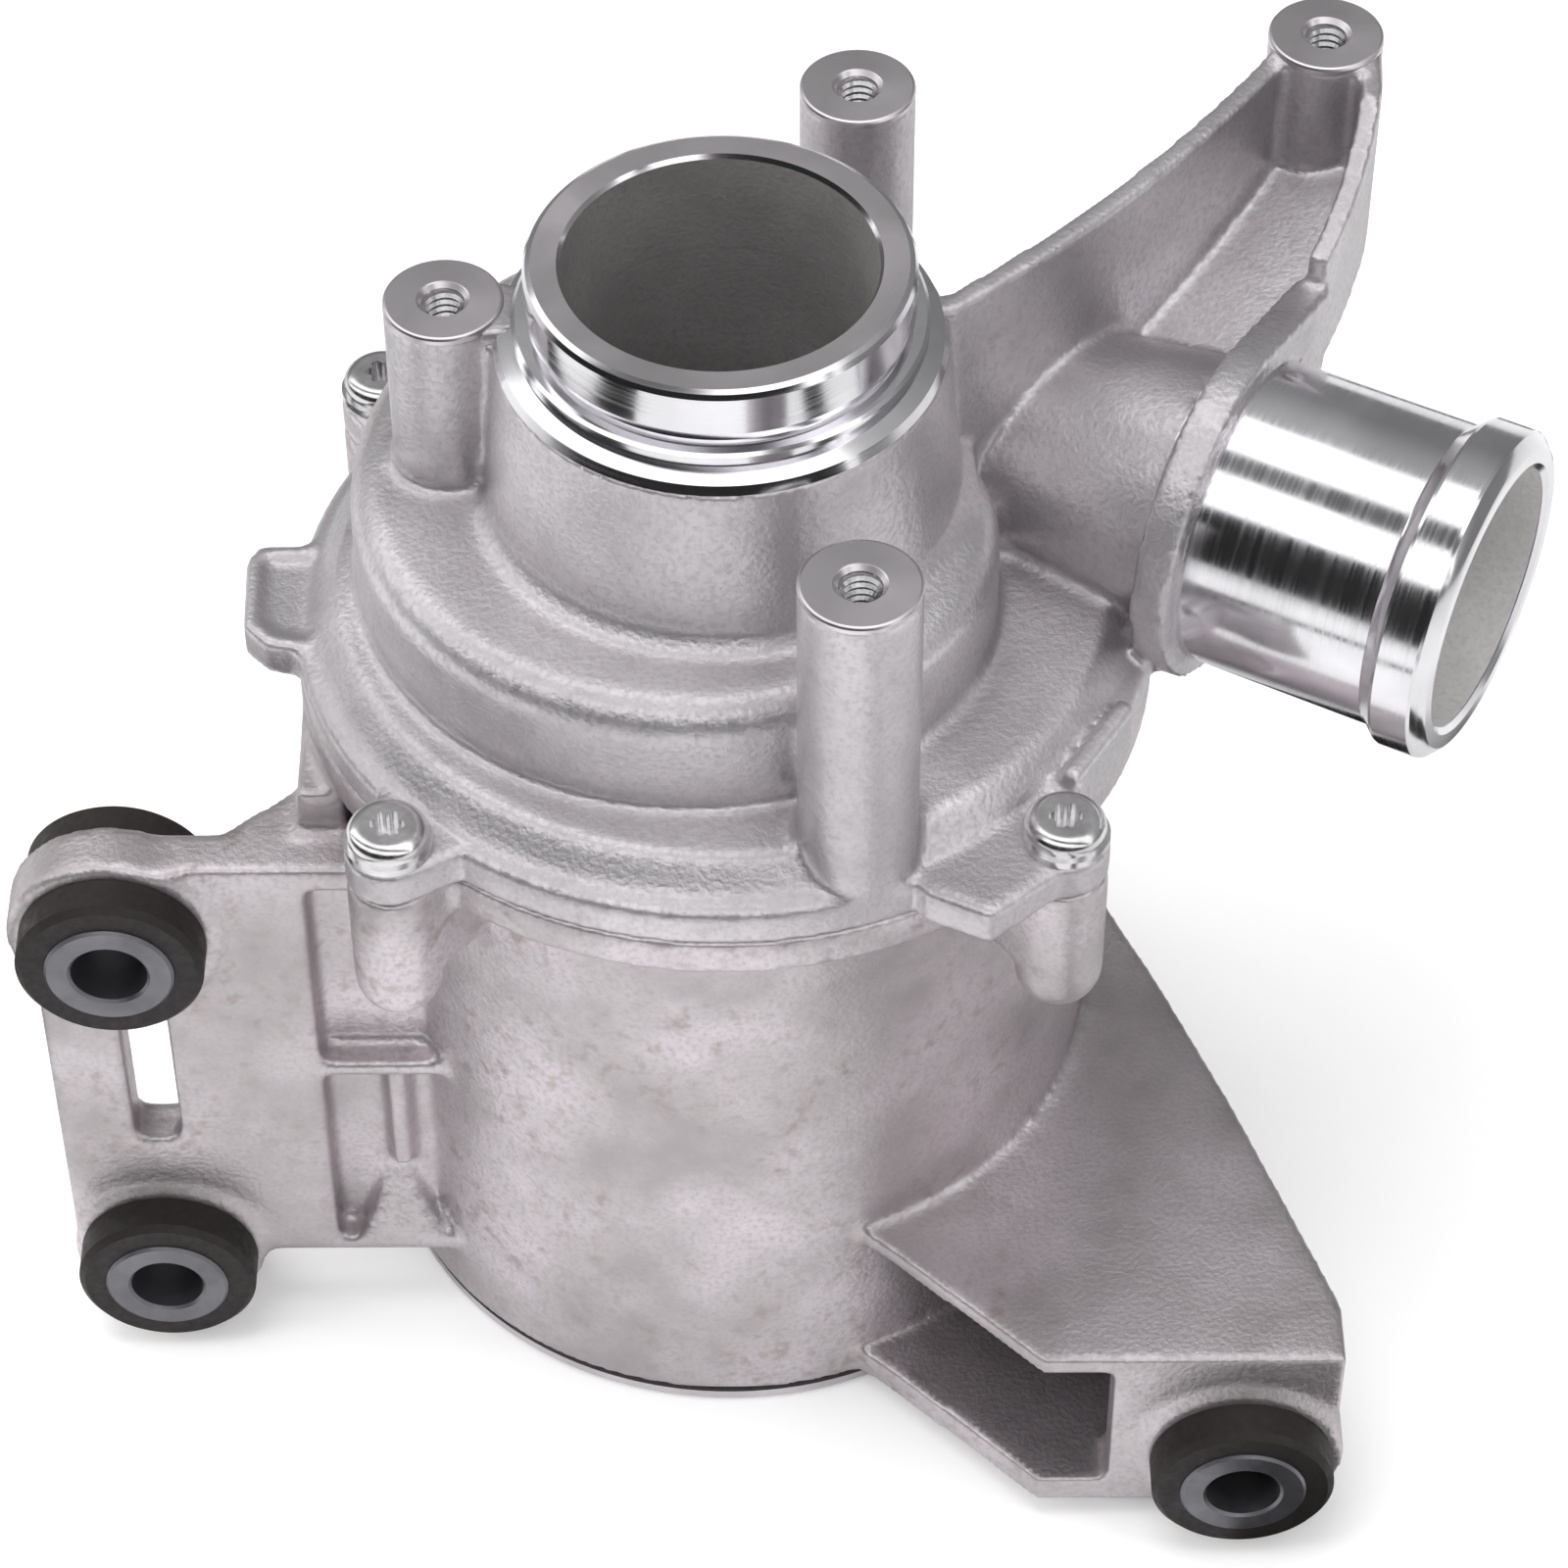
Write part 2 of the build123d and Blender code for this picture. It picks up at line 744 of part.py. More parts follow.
with BuildPart() as motor_housing:
    # cylinder with a tapered flange at the joint
    with BuildSketch(Plane.XZ) as body_profile:
        with BuildLine():
            Polyline(
                (0, housing_base_z),
                (motor_r - base_chamfer, housing_base_z),
                (motor_r, housing_base_z + base_chamfer),
                (motor_r, joint_z - housing_flange_t - flange_taper_h),
                (motor_r + flange_taper_w, joint_z - housing_flange_t - flange_taper_h / 3),
                (flange_r, joint_z - housing_flange_t),
                (flange_r, joint_z),
                (0, joint_z),
                close=True,
            )
        make_face()
    revolve(axis=Axis.Z)

    # round-ended bosses under the cover screws
    for point in screw_points:
        with BuildSketch(Plane.XY.offset(joint_z)) as boss_web:
            with Locations(point):
                Circle(screw_lug_r)
            inward = Vector(*point).normalized() * (motor_r - screw_lug_r)
            with Locations((inward.X, inward.Y)):
                Circle(screw_lug_r)
            make_hull()
        extrude(amount=-screw_web_drop)
        with BuildSketch(Plane.XY.offset(joint_z)) as boss_column:
            with Locations(point):
                Circle(screw_lug_r)
        extrude(amount=-screw_boss_drop)
        with Locations((point[0], point[1], joint_z - screw_boss_drop)):
            Sphere(screw_lug_r)

    # pad for the electrical connector at the back
    with BuildSketch(Plane.XZ.offset(-plug_face_y)) as plug_pad:
        with Locations((0, pin_z)):
            RectangleRounded(plug_flange_w, plug_flange_h, rib_t)
    extrude(amount=plug_face_y - housing_bore_r + motor_wall)

    add(plate.part)
    add(right_arm.part)

    # bores for the stator, the electronics bay and the can flange
    with BuildSketch(Plane.XZ) as bore_profile:
        with BuildLine():
            Polyline(
                (0, housing_base_z),
                (housing_bore_r, housing_base_z),
                (housing_bore_r, bay_ledge_z),
                (bay_ledge_r, bay_ledge_z + motor_wall / 2),
                (bay_ledge_r, stator_seat_z),
                (stator_r + seat_gap, stator_seat_z),
                (stator_r + seat_gap, joint_z - can_flange_t),
                (gland_r, joint_z - can_flange_t),
                (gland_r, joint_z),
                (0, joint_z),
                close=True,
            )
        make_face()
    revolve(axis=Axis.Z, mode=Mode.SUBTRACT)

    # bosses inside the bay for the screws of the closing plate
    with BuildSketch(Plane.XY.offset(bay_ledge_z)) as bay_bosses:
        with PolarLocations(end_screw_spot_r, end_screw_count):
            Circle(end_screw_boss_r)
    extrude(amount=step_top_z - bay_ledge_z)
    with BuildSketch(Plane.XY.offset(step_top_z)) as bay_taps:
        with PolarLocations(end_screw_spot_r, end_screw_count):
            Circle(end_screw_r + seat_gap)
    extrude(amount=end_screw_reach, mode=Mode.SUBTRACT)

    # holes for the cover screws, the three bushings, the connector and its screws
    with BuildSketch(Plane.XY.offset(joint_z)) as screw_taps:
        with Locations(*screw_points):
            Circle(screw_thread_r + seat_gap)
    extrude(amount=-(screw_engage + 1.0), mode=Mode.SUBTRACT)
    with BuildSketch(Plane.XZ.offset(-plate_back_y)) as left_eyes:
        with Locations(upper_ear, lower_ear):
            Circle(rubber_neck_r)
    extrude(amount=ear_t, mode=Mode.SUBTRACT)
    with BuildSketch(Plane.XZ.offset(-(right_ring_y + ear_t))) as right_eye:
        with Locations(right_ear):
            Circle(rubber_neck_r)
    extrude(amount=ear_t, mode=Mode.SUBTRACT)
    with BuildSketch(Plane.XZ.offset(-(right_ring_y + ear_t))) as rear_relief:
        with Locations(right_ear):
            Circle(rubber_r + relief_gap)
    extrude(amount=-((bush_length - ear_t) / 2 + relief_gap), mode=Mode.SUBTRACT)
    with BuildSketch(Plane.XZ.offset(-plug_face_y)) as neck_opening:
        with Locations((0, pin_z)):
            SlotOverall(plug_neck_w + 2 * seat_gap, plug_neck_h + 2 * seat_gap)
    extrude(amount=plug_face_y - plug_inner_y, mode=Mode.SUBTRACT)
    with BuildSketch(Plane.XZ.offset(-plug_face_y)) as plug_taps:
        with Locations((-plug_screw_x, pin_z), (plug_screw_x, pin_z)):
            Circle(plug_screw_r + seat_gap)
    extrude(amount=plug_screw_reach, mode=Mode.SUBTRACT)

motor_housing.part.label = "motor_housing"
export_step(motor_housing.part, "parts/motor_housing.step")

# ring seal in the gland beside the can flange
with BuildPart() as cover_seal:
    with BuildSketch(Plane.XZ) as ring_section:
        with Locations((can_flange_r + seat_gap + oring_r, joint_z - oring_r)):
            Circle(oring_r)
    revolve(axis=Axis.Z)

cover_seal.part.label = "cover_seal"
export_step(cover_seal.part, "parts/cover_seal.step")

# four pan-head cover screws with a six-lobed drive
with BuildPart() as cover_screws:
    for point in screw_points:
        with BuildSketch(Plane.XY.offset(cover_flange_top)) as washer_face:
            with Locations(point):
                Circle(screw_washer_r)
        extrude(amount=screw_washer_t)
        with BuildSketch(Plane.XY.offset(cover_flange_top)) as screw_head:
            with Locations(point):
                Circle(screw_head_r)
        head_top = extrude(amount=screw_head_h)
        fillet(cover_screws.edges(Select.LAST).sort_by(Axis.Z)[-1:], radius=screw_head_round)
        with BuildSketch(Plane.XY.offset(cover_flange_top)) as screw_shank:
            with Locations(point):
                Circle(screw_thread_r)
        extrude(amount=-(cover_flange_t + screw_engage))
        with BuildSketch(Plane.XY.offset(cover_flange_top + screw_head_h)) as drive:
            with Locations(point):
                Circle(drive_r)
                with PolarLocations(drive_r, drive_lobes):
                    Circle(drive_lobe_r)
        extrude(amount=-drive_depth, mode=Mode.SUBTRACT)

cover_screws.part.label = "cover_screws"
export_step(cover_screws.part, "parts/cover_screws.step")


def rubber_bush(centre, front_y):
    """Rubber bush with a flange on each side of its eye."""
    with BuildPart() as rubber:
        with BuildSketch(Plane.XZ.offset(-front_y - bush_length / 2)) as neck:
            with Locations(centre):
                Circle(rubber_neck_r - seat_gap)
        extrude(amount=bush_length / 2 - rubber_inset, both=True)
        for side in (-1, 1):
            with BuildSketch(Plane.XZ.offset(side * ear_t / 2 - front_y - bush_length / 2)) as rim:
                with Locations(centre):
                    Circle(rubber_r)
            extrude(amount=side * ((bush_length - ear_t) / 2 - rubber_inset))
        ends = rubber.edges().filter_by(GeomType.CIRCLE).sort_by(Axis.Y)
        chamfer([ends[0], ends[-1]], length=rubber_chamfer)
        with BuildSketch(Plane.XZ.offset(-front_y - bush_length / 2)) as eye:
            with Locations(centre):
                Circle(sleeve_r + seat_gap)
        extrude(amount=bush_length, both=True, mode=Mode.SUBTRACT)
    return rubber.part


def steel_sleeve(centre, front_y):
    """Steel sleeve that the mounting bolt passes through."""
    with BuildPart() as sleeve:
        with BuildSketch(Plane.XZ.offset(-front_y)) as tube:
            with Locations(centre):
                Circle(sleeve_r)
                Circle(sleeve_bore_r, mode=Mode.SUBTRACT)
        extrude(amount=-bush_length)
        chamfer(sleeve.edges().filter_by(GeomType.CIRCLE), length=sleeve_chamfer)
    return sleeve.part


bushing_upper = rubber_bush(upper_ear, left_sleeve_front_y)
bushing_upper.label = "bushing_upper"
export_step(bushing_upper, "parts/bushing_upper.step")

bushing_lower = rubber_bush(lower_ear, left_sleeve_front_y)
bushing_lower.label = "bushing_lower"
export_step(bushing_lower, "parts/bushing_lower.step")

bushing_right = rubber_bush(right_ear, right_sleeve_front_y)
bushing_right.label = "bushing_right"
export_step(bushing_right, "parts/bushing_right.step")

sleeve_upper = steel_sleeve(upper_ear, left_sleeve_front_y)
sleeve_upper.label = "sleeve_upper"
export_step(sleeve_upper, "parts/sleeve_upper.step")

sleeve_lower = steel_sleeve(lower_ear, left_sleeve_front_y)
sleeve_lower.label = "sleeve_lower"
export_step(sleeve_lower, "parts/sleeve_lower.step")

sleeve_right = steel_sleeve(right_ear, right_sleeve_front_y)
sleeve_right.label = "sleeve_right"
export_step(sleeve_right, "parts/sleeve_right.step")

# laminated stator with twelve teeth
with BuildPart() as stator_core:
    with BuildSketch(Plane.XY.offset(stator_seat_z)) as stator_plan:
        Circle(stator_r)
        Circle(stator_r - yoke_t, mode=Mode.SUBTRACT)
        with PolarLocations((stator_bore_r + stator_r) / 2, slot_count):
            Rectangle(stator_r - stator_bore_r - yoke_t / 2, tooth_w)
        with PolarLocations(stator_bore_r + tooth_tip_t / 2, slot_count):
            Rectangle(tooth_tip_t, tooth_tip_w)
        Circle(stator_bore_r, mode=Mode.SUBTRACT)
    extrude(amount=stator_length)

stator_core.part.label = "stator_core"
export_step(stator_core.part, "parts/stator_core.step")

# plastic end insulators on both faces of the stator
with BuildPart() as stator_insulators:
    for level in (stator_seat_z - insulator_t, stator_top_z):
        with BuildSketch(Plane.XY.offset(level)) as insulator_plan:
            Circle(insulator_r)
            Circle(insulator_r - insulator_ring_t, mode=Mode.SUBTRACT)
            with PolarLocations((stator_bore_r + insulator_r) / 2, slot_count):
                Rectangle(insulator_r - stator_bore_r - insulator_ring_t / 2, tooth_w)
            Circle(stator_bore_r + seat_gap, mode=Mode.SUBTRACT)
        extrude(amount=insulator_t)

stator_insulators.part.label = "stator_insulators"
export_step(stator_insulators.part, "parts/stator_insulators.step")

# twelve coils, one round each tooth
with BuildPart() as stator_windings:
    stator_mid_z = stator_seat_z + stator_length / 2
    coil_in_w = tooth_w + 2 * seat_gap
    coil_in_h = stator_length + 2 * insulator_t + 2 * seat_gap
    for tooth in range(slot_count):
        tooth_axis = Vector(*polar(1, tooth * 360 / slot_count), 0)
        coil_plane = Plane(tooth_axis * coil_in_r, x_dir=tooth_axis.rotate(Axis.Z, 90), z_dir=tooth_axis)
        with BuildSketch(coil_plane) as coil_face:
            with Locations((0, stator_mid_z)):
                RectangleRounded(coil_in_w + 2 * coil_t, coil_in_h + 2 * coil_t, coil_corner)
                Rectangle(coil_in_w, coil_in_h, mode=Mode.SUBTRACT)
        extrude(amount=coil_out_r - coil_in_r)

stator_windings.part.label = "stator_windings"
export_step(stator_windings.part, "parts/stator_windings.step")

# leads from the coils down to the control board
coil_low_z = stator_mid_z - coil_in_h / 2 - coil_t
with BuildPart() as phase_leads:
    with BuildSketch(Plane.XY.offset(board_z + board_t)) as lead_plan:
        with PolarLocations(lead_spot_r, lead_count, start_angle=30):
            Circle(lead_r)
    extrude(amount=coil_low_z - board_z - board_t)

phase_leads.part.label = "phase_leads"
export_step(phase_leads.part, "parts/phase_leads.step")

# thin can that keeps the coolant out of the stator
with BuildPart() as separating_can:
    with BuildSketch(Plane.XZ) as can_profile:
        with BuildLine():
            Polyline(
                (0, can_bottom_z),
                (can_r, can_bottom_z),
                (can_r, joint_z - can_flange_t),
                (can_flange_r, joint_z - can_flange_t),
                (can_flange_r, joint_z),
                (can_bore_r, joint_z),
                (can_bore_r, can_floor_z),
                (can_boss_r, can_floor_z),
                (can_boss_r, can_boss_top_z),
                (shaft_r + seat_gap, can_boss_top_z),
                (shaft_r + seat_gap, can_bottom_z + shaft_tail),
                (0, can_bottom_z + shaft_tail),
                close=True,
            )
        make_face()
    revolve(axis=Axis.Z)

separating_can.part.label = "separating_can"
export_step(separating_can.part, "parts/separating_can.step")

# fixed shaft, pressed into the foot of the can
with BuildPart() as rotor_shaft:
    with BuildSketch(Plane.XY.offset(can_bottom_z + shaft_tail)) as shaft_plan:
        Circle(shaft_r)
    extrude(amount=nut_z + nut_h + shaft_tail - can_bottom_z - shaft_tail)
    chamfer(rotor_shaft.edges().sort_by(Axis.Z)[-1], length=shaft_tail / 2)

rotor_shaft.part.label = "rotor_shaft"
export_step(rotor_shaft.part, "parts/rotor_shaft.step")

# one thrust washer below the rotor and one above it
with BuildPart() as thrust_washers:
    with BuildSketch(Plane.XY.offset(can_boss_top_z)) as rear_washer:
        Circle(rear_washer_r)
        Circle(shaft_r + seat_gap, mode=Mode.SUBTRACT)
    extrude(amount=washer_t)
    with BuildSketch(Plane.XY.offset(hub_top_z)) as front_washer:
        Circle(front_washer_r)
        Circle(shaft_r + seat_gap, mode=Mode.SUBTRACT)
    extrude(amount=washer_t)

thrust_washers.part.label = "thrust_washers"
export_step(thrust_washers.part, "parts/thrust_washers.step")

# nut that holds the front washer on the shaft
with BuildPart() as shaft_nut:
    with BuildSketch(Plane.XY.offset(nut_z)) as nut_plan:
        RegularPolygon(radius=nut_r, side_count=6)
        Circle(shaft_r + seat_gap, mode=Mode.SUBTRACT)
    extrude(amount=nut_h)

shaft_nut.part.label = "shaft_nut"
export_step(shaft_nut.part, "parts/shaft_nut.step")

# two bearing bushes that turn on the fixed shaft
with BuildPart() as bearing_rear:
    with BuildSketch(Plane.XY.offset(rear_bush_z)) as rear_plan:
        Circle(bush_r)
        Circle(shaft_r + running_gap, mode=Mode.SUBTRACT)
    extrude(amount=rear_bush_length)

bearing_rear.part.label = "bearing_rear"
export_step(bearing_rear.part, "parts/bearing_rear.step")

with BuildPart() as bearing_front:
    with BuildSketch(Plane.XY.offset(front_bush_z)) as front_plan:
        Circle(bush_r)
        Circle(shaft_r + running_gap, mode=Mode.SUBTRACT)
    extrude(amount=hub_top_z - front_bush_z)

bearing_front.part.label = "bearing_front"
export_step(bearing_front.part, "parts/bearing_front.step")

# iron core of the rotor
with BuildPart() as rotor_core:
    with BuildSketch(Plane.XY.offset(rotor_z + rotor_end_t)) as core_plan:
        Circle(magnet_in_r - seat_gap)
        Circle(rotor_bore_r, mode=Mode.SUBTRACT)
    extrude(amount=rotor_length - 2 * rotor_end_t)

rotor_core.part.label = "rotor_core"
export_step(rotor_core.part, "parts/rotor_core.step")

# eight magnet segments round the core
with BuildPart() as rotor_magnets:
    half_angle = (360 / magnet_count - magnet_gap_angle) / 2
    for segment in range(magnet_count):
        turned = Location((0, 0, 0), (0, 0, segment * 360 / magnet_count))
        with BuildSketch(turned * Plane.XY.offset(rotor_z + rotor_end_t)) as magnet_plan:
            with BuildLine():
                outer_arc = ThreePointArc(
                    polar(magnet_out_r, -half_angle), (magnet_out_r, 0), polar(magnet_out_r, half_angle)
                )
                inner_arc = ThreePointArc(
                    polar(magnet_in_r, -half_angle), (magnet_in_r, 0), polar(magnet_in_r, half_angle)
                )
                Line(outer_arc @ 0, inner_arc @ 0)
                Line(outer_arc @ 1, inner_arc @ 1)
            make_face()
        extrude(amount=rotor_length - 2 * rotor_end_t)

rotor_magnets.part.label = "rotor_magnets"
export_step(rotor_magnets.part, "parts/rotor_magnets.step")

# plastic jacket round the rotor, with the tube that carries the impeller
with BuildPart() as rotor_jacket:
    with BuildSketch(Plane.XZ) as jacket_profile:
        with BuildLine():
            Polyline(
                (rotor_bore_r, rotor_z),
                (rotor_r, rotor_z),
                (rotor_r, rotor_top_z),
                (rotor_bore_r + tube_wall, rotor_top_z),
                (rotor_bore_r + tube_wall, impeller_z),
                (rotor_bore_r, impeller_z),
                close=True,
            )
        make_face()
        with BuildLine():
            Polyline(
                (rotor_bore_r - seat_gap, rotor_z + rotor_end_t),
                (rotor_r - rotor_skin, rotor_z + rotor_end_t),
                (rotor_r - rotor_skin, rotor_top_z - rotor_end_t),
                (rotor_bore_r - seat_gap, rotor_top_z - rotor_end_t),
                close=True,
            )
        make_face(mode=Mode.SUBTRACT)
    revolve(axis=Axis.Z)

rotor_jacket.part.label = "rotor_jacket"
export_step(rotor_jacket.part, "parts/rotor_jacket.step")

# impeller: hub, back plate and swept vanes
with BuildPart() as impeller:
    with BuildSketch(Plane.XZ) as impeller_profile:
        with BuildLine():
            Polyline(
                (rotor_bore_r, impeller_z),
                (impeller_r, impeller_z),
                (impeller_r, plate_top),
                (impeller_hub_r, plate_top),
                (impeller_nose_r, hub_top_z),
                (rotor_bore_r, hub_top_z),
                close=True,
            )
        make_face()
    revolve(axis=Axis.Z)
    for vane in range(vane_count):
        start = vane * 360 / vane_count
        with BuildSketch(Plane.XY.offset(plate_top)) as vane_plan:
            with BuildLine():
                ThreePointArc(
                    polar(vane_in_r, start),
                    polar(vane_mid_r, start + vane_mid_turn),
                    polar(vane_out_r, start + vane_turn),
                )
            trace(line_width=vane_t)
        extrude(amount=vane_h)

impeller.part.label = "impeller"
export_step(impeller.part, "parts/impeller.step")

# shroud over the vanes, with the ring round the impeller eye
with BuildPart() as impeller_shroud:
    with BuildSketch(Plane.XZ) as shroud_profile:
        with BuildLine():
            Polyline(
                (impeller_eye_r, shroud_z),
                (impeller_r, shroud_z),
                (impeller_r, shroud_z + impeller_shroud_t),
                (impeller_eye_r + impeller_ring_t, shroud_z + impeller_shroud_t),
                (impeller_eye_r + impeller_ring_t, shroud_z + impeller_shroud_t + eye_ring_h),
                (impeller_eye_r, shroud_z + impeller_shroud_t + eye_ring_h),
                close=True,
            )
        make_face()
    revolve(axis=Axis.Z)

impeller_shroud.part.label = "impeller_shroud"
export_step(impeller_shroud.part, "parts/impeller_shroud.step")

# closing plate under the electronics bay, with pillars for the board
with BuildPart() as end_cover:
    with BuildSketch(Plane.XY) as plate_plan:
        Circle(end_plate_r)
    extrude(amount=end_plate_t)
    with BuildSketch(Plane.XY.offset(end_plate_t)) as step_plan:
        Circle(end_step_r)
    extrude(amount=end_step_t)
    with BuildSketch(Plane.XY.offset(end_floor_t)) as pocket_plan:
        Circle(end_pocket_r)
    extrude(amount=step_top_z - end_floor_t, mode=Mode.SUBTRACT)
    with BuildSketch(Plane.XY.offset(end_floor_t)) as pillar_plan:
        with PolarLocations(pillar_spot_r, pillar_count, start_angle=60):
            Circle(pillar_r)
    extrude(amount=board_z - end_floor_t)
    with BuildSketch(Plane.XY.offset(board_z)) as pillar_pins:
        with PolarLocations(pillar_spot_r, pillar_count, start_angle=60):
            Circle(pillar_pin_r)
    extrude(amount=board_t + pillar_pin_r)
    with Locations(Location((0, 0, 0), (180, 0, 0))):
        with PolarLocations(end_screw_spot_r, end_screw_count):
            CounterSinkHole(
                radius=end_screw_r + seat_gap,
                counter_sink_radius=end_screw_head_r + seat_gap,
                depth=step_top_z,
                counter_sink_angle=90,
            )

end_cover.part.label = "end_cover"
export_step(end_cover.part, "parts/end_cover.step")

# flat gasket between the closing plate and the housing
with BuildPart() as end_cover_gasket:
    with BuildSketch(Plane.XY.offset(end_plate_t)) as gasket_plan:
        Circle(end_plate_r)
        Circle(end_gasket_in_r, mode=Mode.SUBTRACT)
    extrude(amount=end_gasket_t)

end_cover_gasket.part.label = "end_cover_gasket"
export_step(end_cover_gasket.part, "parts/end_cover_gasket.step")

# six countersunk screws through the closing plate
with BuildPart() as end_cover_screws:
    with BuildSketch(Plane.XY.offset(seat_gap)) as shank_plan:
        with PolarLocations(end_screw_spot_r, end_screw_count):
            Circle(end_screw_r)
    extrude(amount=step_top_z + end_screw_reach - 1.0)
    sink_h = end_screw_head_r - end_screw_r
    with PolarLocations(end_screw_spot_r, end_screw_count):
        with Locations((0, 0, seat_gap + sink_h / 2)):
            Cone(end_screw_head_r, end_screw_r, sink_h)
    with BuildSketch(Plane.XY.offset(seat_gap)) as end_drive:
        with PolarLocations(end_screw_spot_r, end_screw_count):
            RegularPolygon(radius=end_screw_r, side_count=6)
    extrude(amount=sink_h, mode=Mode.SUBTRACT)

end_cover_screws.part.label = "end_cover_screws"
export_step(end_cover_screws.part, "parts/end_cover_screws.step")

# control board on its pillars
with BuildPart() as control_board:
    with BuildSketch(Plane.XY.offset(board_z)) as board_plan:
        Circle(board_r)
        with PolarLocations(pillar_spot_r, pillar_count, start_angle=60):
            Circle(pillar_pin_r + seat_gap, mode=Mode.SUBTRACT)
    extrude(amount=board_t)

control_board.part.label = "control_board"
export_step(control_board.part, "parts/control_board.step")

# capacitors that stand on the board
with BuildPart() as board_capacitors:
    with BuildSketch(Plane.XY.offset(board_z + board_t)) as capacitor_plan:
        with Locations(*capacitor_spots):
            Circle(capacitor_r)
    extrude(amount=capacitor_h)

board_capacitors.part.label = "board_capacitors"
export_step(board_capacitors.part, "parts/board_capacitors.step")

# power switches under the board
with BuildPart() as power_switches:
    with BuildSketch(Plane.XY.offset(board_z)) as switch_plan:
        with Locations(*switch_spots):
            Rectangle(switch_size[0], switch_size[1])
    extrude(amount=-switch_size[2])

power_switches.part.label = "power_switches"
export_step(power_switches.part, "parts/power_switches.step")

# connector body with its shroud, flange and neck
with BuildPart() as connector_socket:
    with BuildSketch(Plane.XZ.offset(-plug_face_y)) as plug_flange:
        with Locations((0, pin_z)):
            RectangleRounded(plug_flange_w, plug_flange_h, rib_t)
    extrude(amount=-plug_flange_t)
    with BuildSketch(Plane.XZ.offset(-plug_face_y)) as plug_body:
        with Locations((0, pin_z)):
            RectangleRounded(plug_width, plug_height, rib_t)
    extrude(amount=-(plug_flange_t + plug_length))
    with BuildSketch(Plane.XZ.offset(-plug_face_y - plug_flange_t)) as plug_mouth:
        with Locations((0, pin_z)):
            RectangleRounded(plug_width - 2 * plug_wall, plug_height - 2 * plug_wall, plug_wall)
    extrude(amount=-plug_length, mode=Mode.SUBTRACT)
    with BuildSketch(Plane.XZ.offset(-plug_face_y)) as plug_neck:
        with Locations((0, pin_z)):
            SlotOverall(plug_neck_w, plug_neck_h)
    extrude(amount=plug_face_y - plug_inner_y)
    with BuildSketch(Plane.XZ.offset(-plug_inner_y)) as pin_slots:
        for pin_x in pin_spots:
            with Locations((pin_x, pin_z)):
                Rectangle(pin_w + 2 * seat_gap, pin_t + 2 * seat_gap)
    extrude(amount=-(plug_face_y + plug_flange_t - plug_inner_y), mode=Mode.SUBTRACT)
    with BuildSketch(Plane.XZ.offset(-plug_face_y)) as ear_holes:
        with Locations((-plug_screw_x, pin_z), (plug_screw_x, pin_z)):
            Circle(plug_screw_r + screw_clear_gap)
    extrude(amount=-plug_flange_t, mode=Mode.SUBTRACT)

connector_socket.part.label = "connector_socket"
export_step(connector_socket.part, "parts/connector_socket.step")

# three blade pins from the board into the connector
with BuildPart() as connector_pins:
    with BuildSketch(Plane.XZ.offset(-pin_inner_y)) as pin_faces:
        for pin_x in pin_spots:
            with Locations((pin_x, pin_z)):
                Rectangle(pin_w, pin_t)
    extrude(amount=-(plug_face_y + plug_flange_t + plug_length - pin_short - pin_inner_y))

connector_pins.part.label = "connector_pins"
export_step(connector_pins.part, "parts/connector_pins.step")

# two screws that hold the connector
with BuildPart() as connector_screws:
    for screw_x in (-plug_screw_x, plug_screw_x):
        with BuildSketch(Plane.XZ.offset(-plug_face_y - plug_flange_t)) as small_head:
            with Locations((screw_x, pin_z)):
                Circle(plug_screw_head_r)
        extrude(amount=-plug_screw_head_h)
        with BuildSketch(Plane.XZ.offset(-plug_face_y - plug_flange_t)) as small_shank:
            with Locations((screw_x, pin_z)):
                Circle(plug_screw_r)
        extrude(amount=plug_flange_t + plug_screw_reach - seat_gap)
        with BuildSketch(Plane.XZ.offset(-plug_face_y - plug_flange_t - plug_screw_head_h)) as small_drive:
            with Locations((screw_x, pin_z)):
                RegularPolygon(radius=plug_screw_r, side_count=6)
        extrude(amount=plug_screw_head_h / 2, mode=Mode.SUBTRACT)

connector_screws.part.label = "connector_screws"
export_step(connector_screws.part, "parts/connector_screws.step")
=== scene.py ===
# %% [markdown]
# # Electric coolant pump
# The metal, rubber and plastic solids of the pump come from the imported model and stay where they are.
# This lesson adds the looks. We load the model first, because every piece and every finish hangs on it.
# Sizes are written in metres, or in millimetres times `mm`.

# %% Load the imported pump
import math

import bmesh
import bpy
from mathutils import Matrix, Vector


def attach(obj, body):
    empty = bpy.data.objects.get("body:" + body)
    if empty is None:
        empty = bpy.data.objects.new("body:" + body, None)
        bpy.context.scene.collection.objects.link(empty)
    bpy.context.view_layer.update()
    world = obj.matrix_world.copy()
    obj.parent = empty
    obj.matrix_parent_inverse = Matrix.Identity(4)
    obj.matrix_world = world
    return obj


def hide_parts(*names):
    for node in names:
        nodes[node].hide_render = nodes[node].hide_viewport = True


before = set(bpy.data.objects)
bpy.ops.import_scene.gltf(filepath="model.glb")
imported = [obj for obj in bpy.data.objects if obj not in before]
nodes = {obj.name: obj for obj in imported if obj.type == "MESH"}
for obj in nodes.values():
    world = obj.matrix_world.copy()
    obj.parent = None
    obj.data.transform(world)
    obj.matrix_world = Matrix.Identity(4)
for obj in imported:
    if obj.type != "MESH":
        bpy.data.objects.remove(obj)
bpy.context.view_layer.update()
mm = 0.001
print("pieces in the packed pump:", len(nodes))

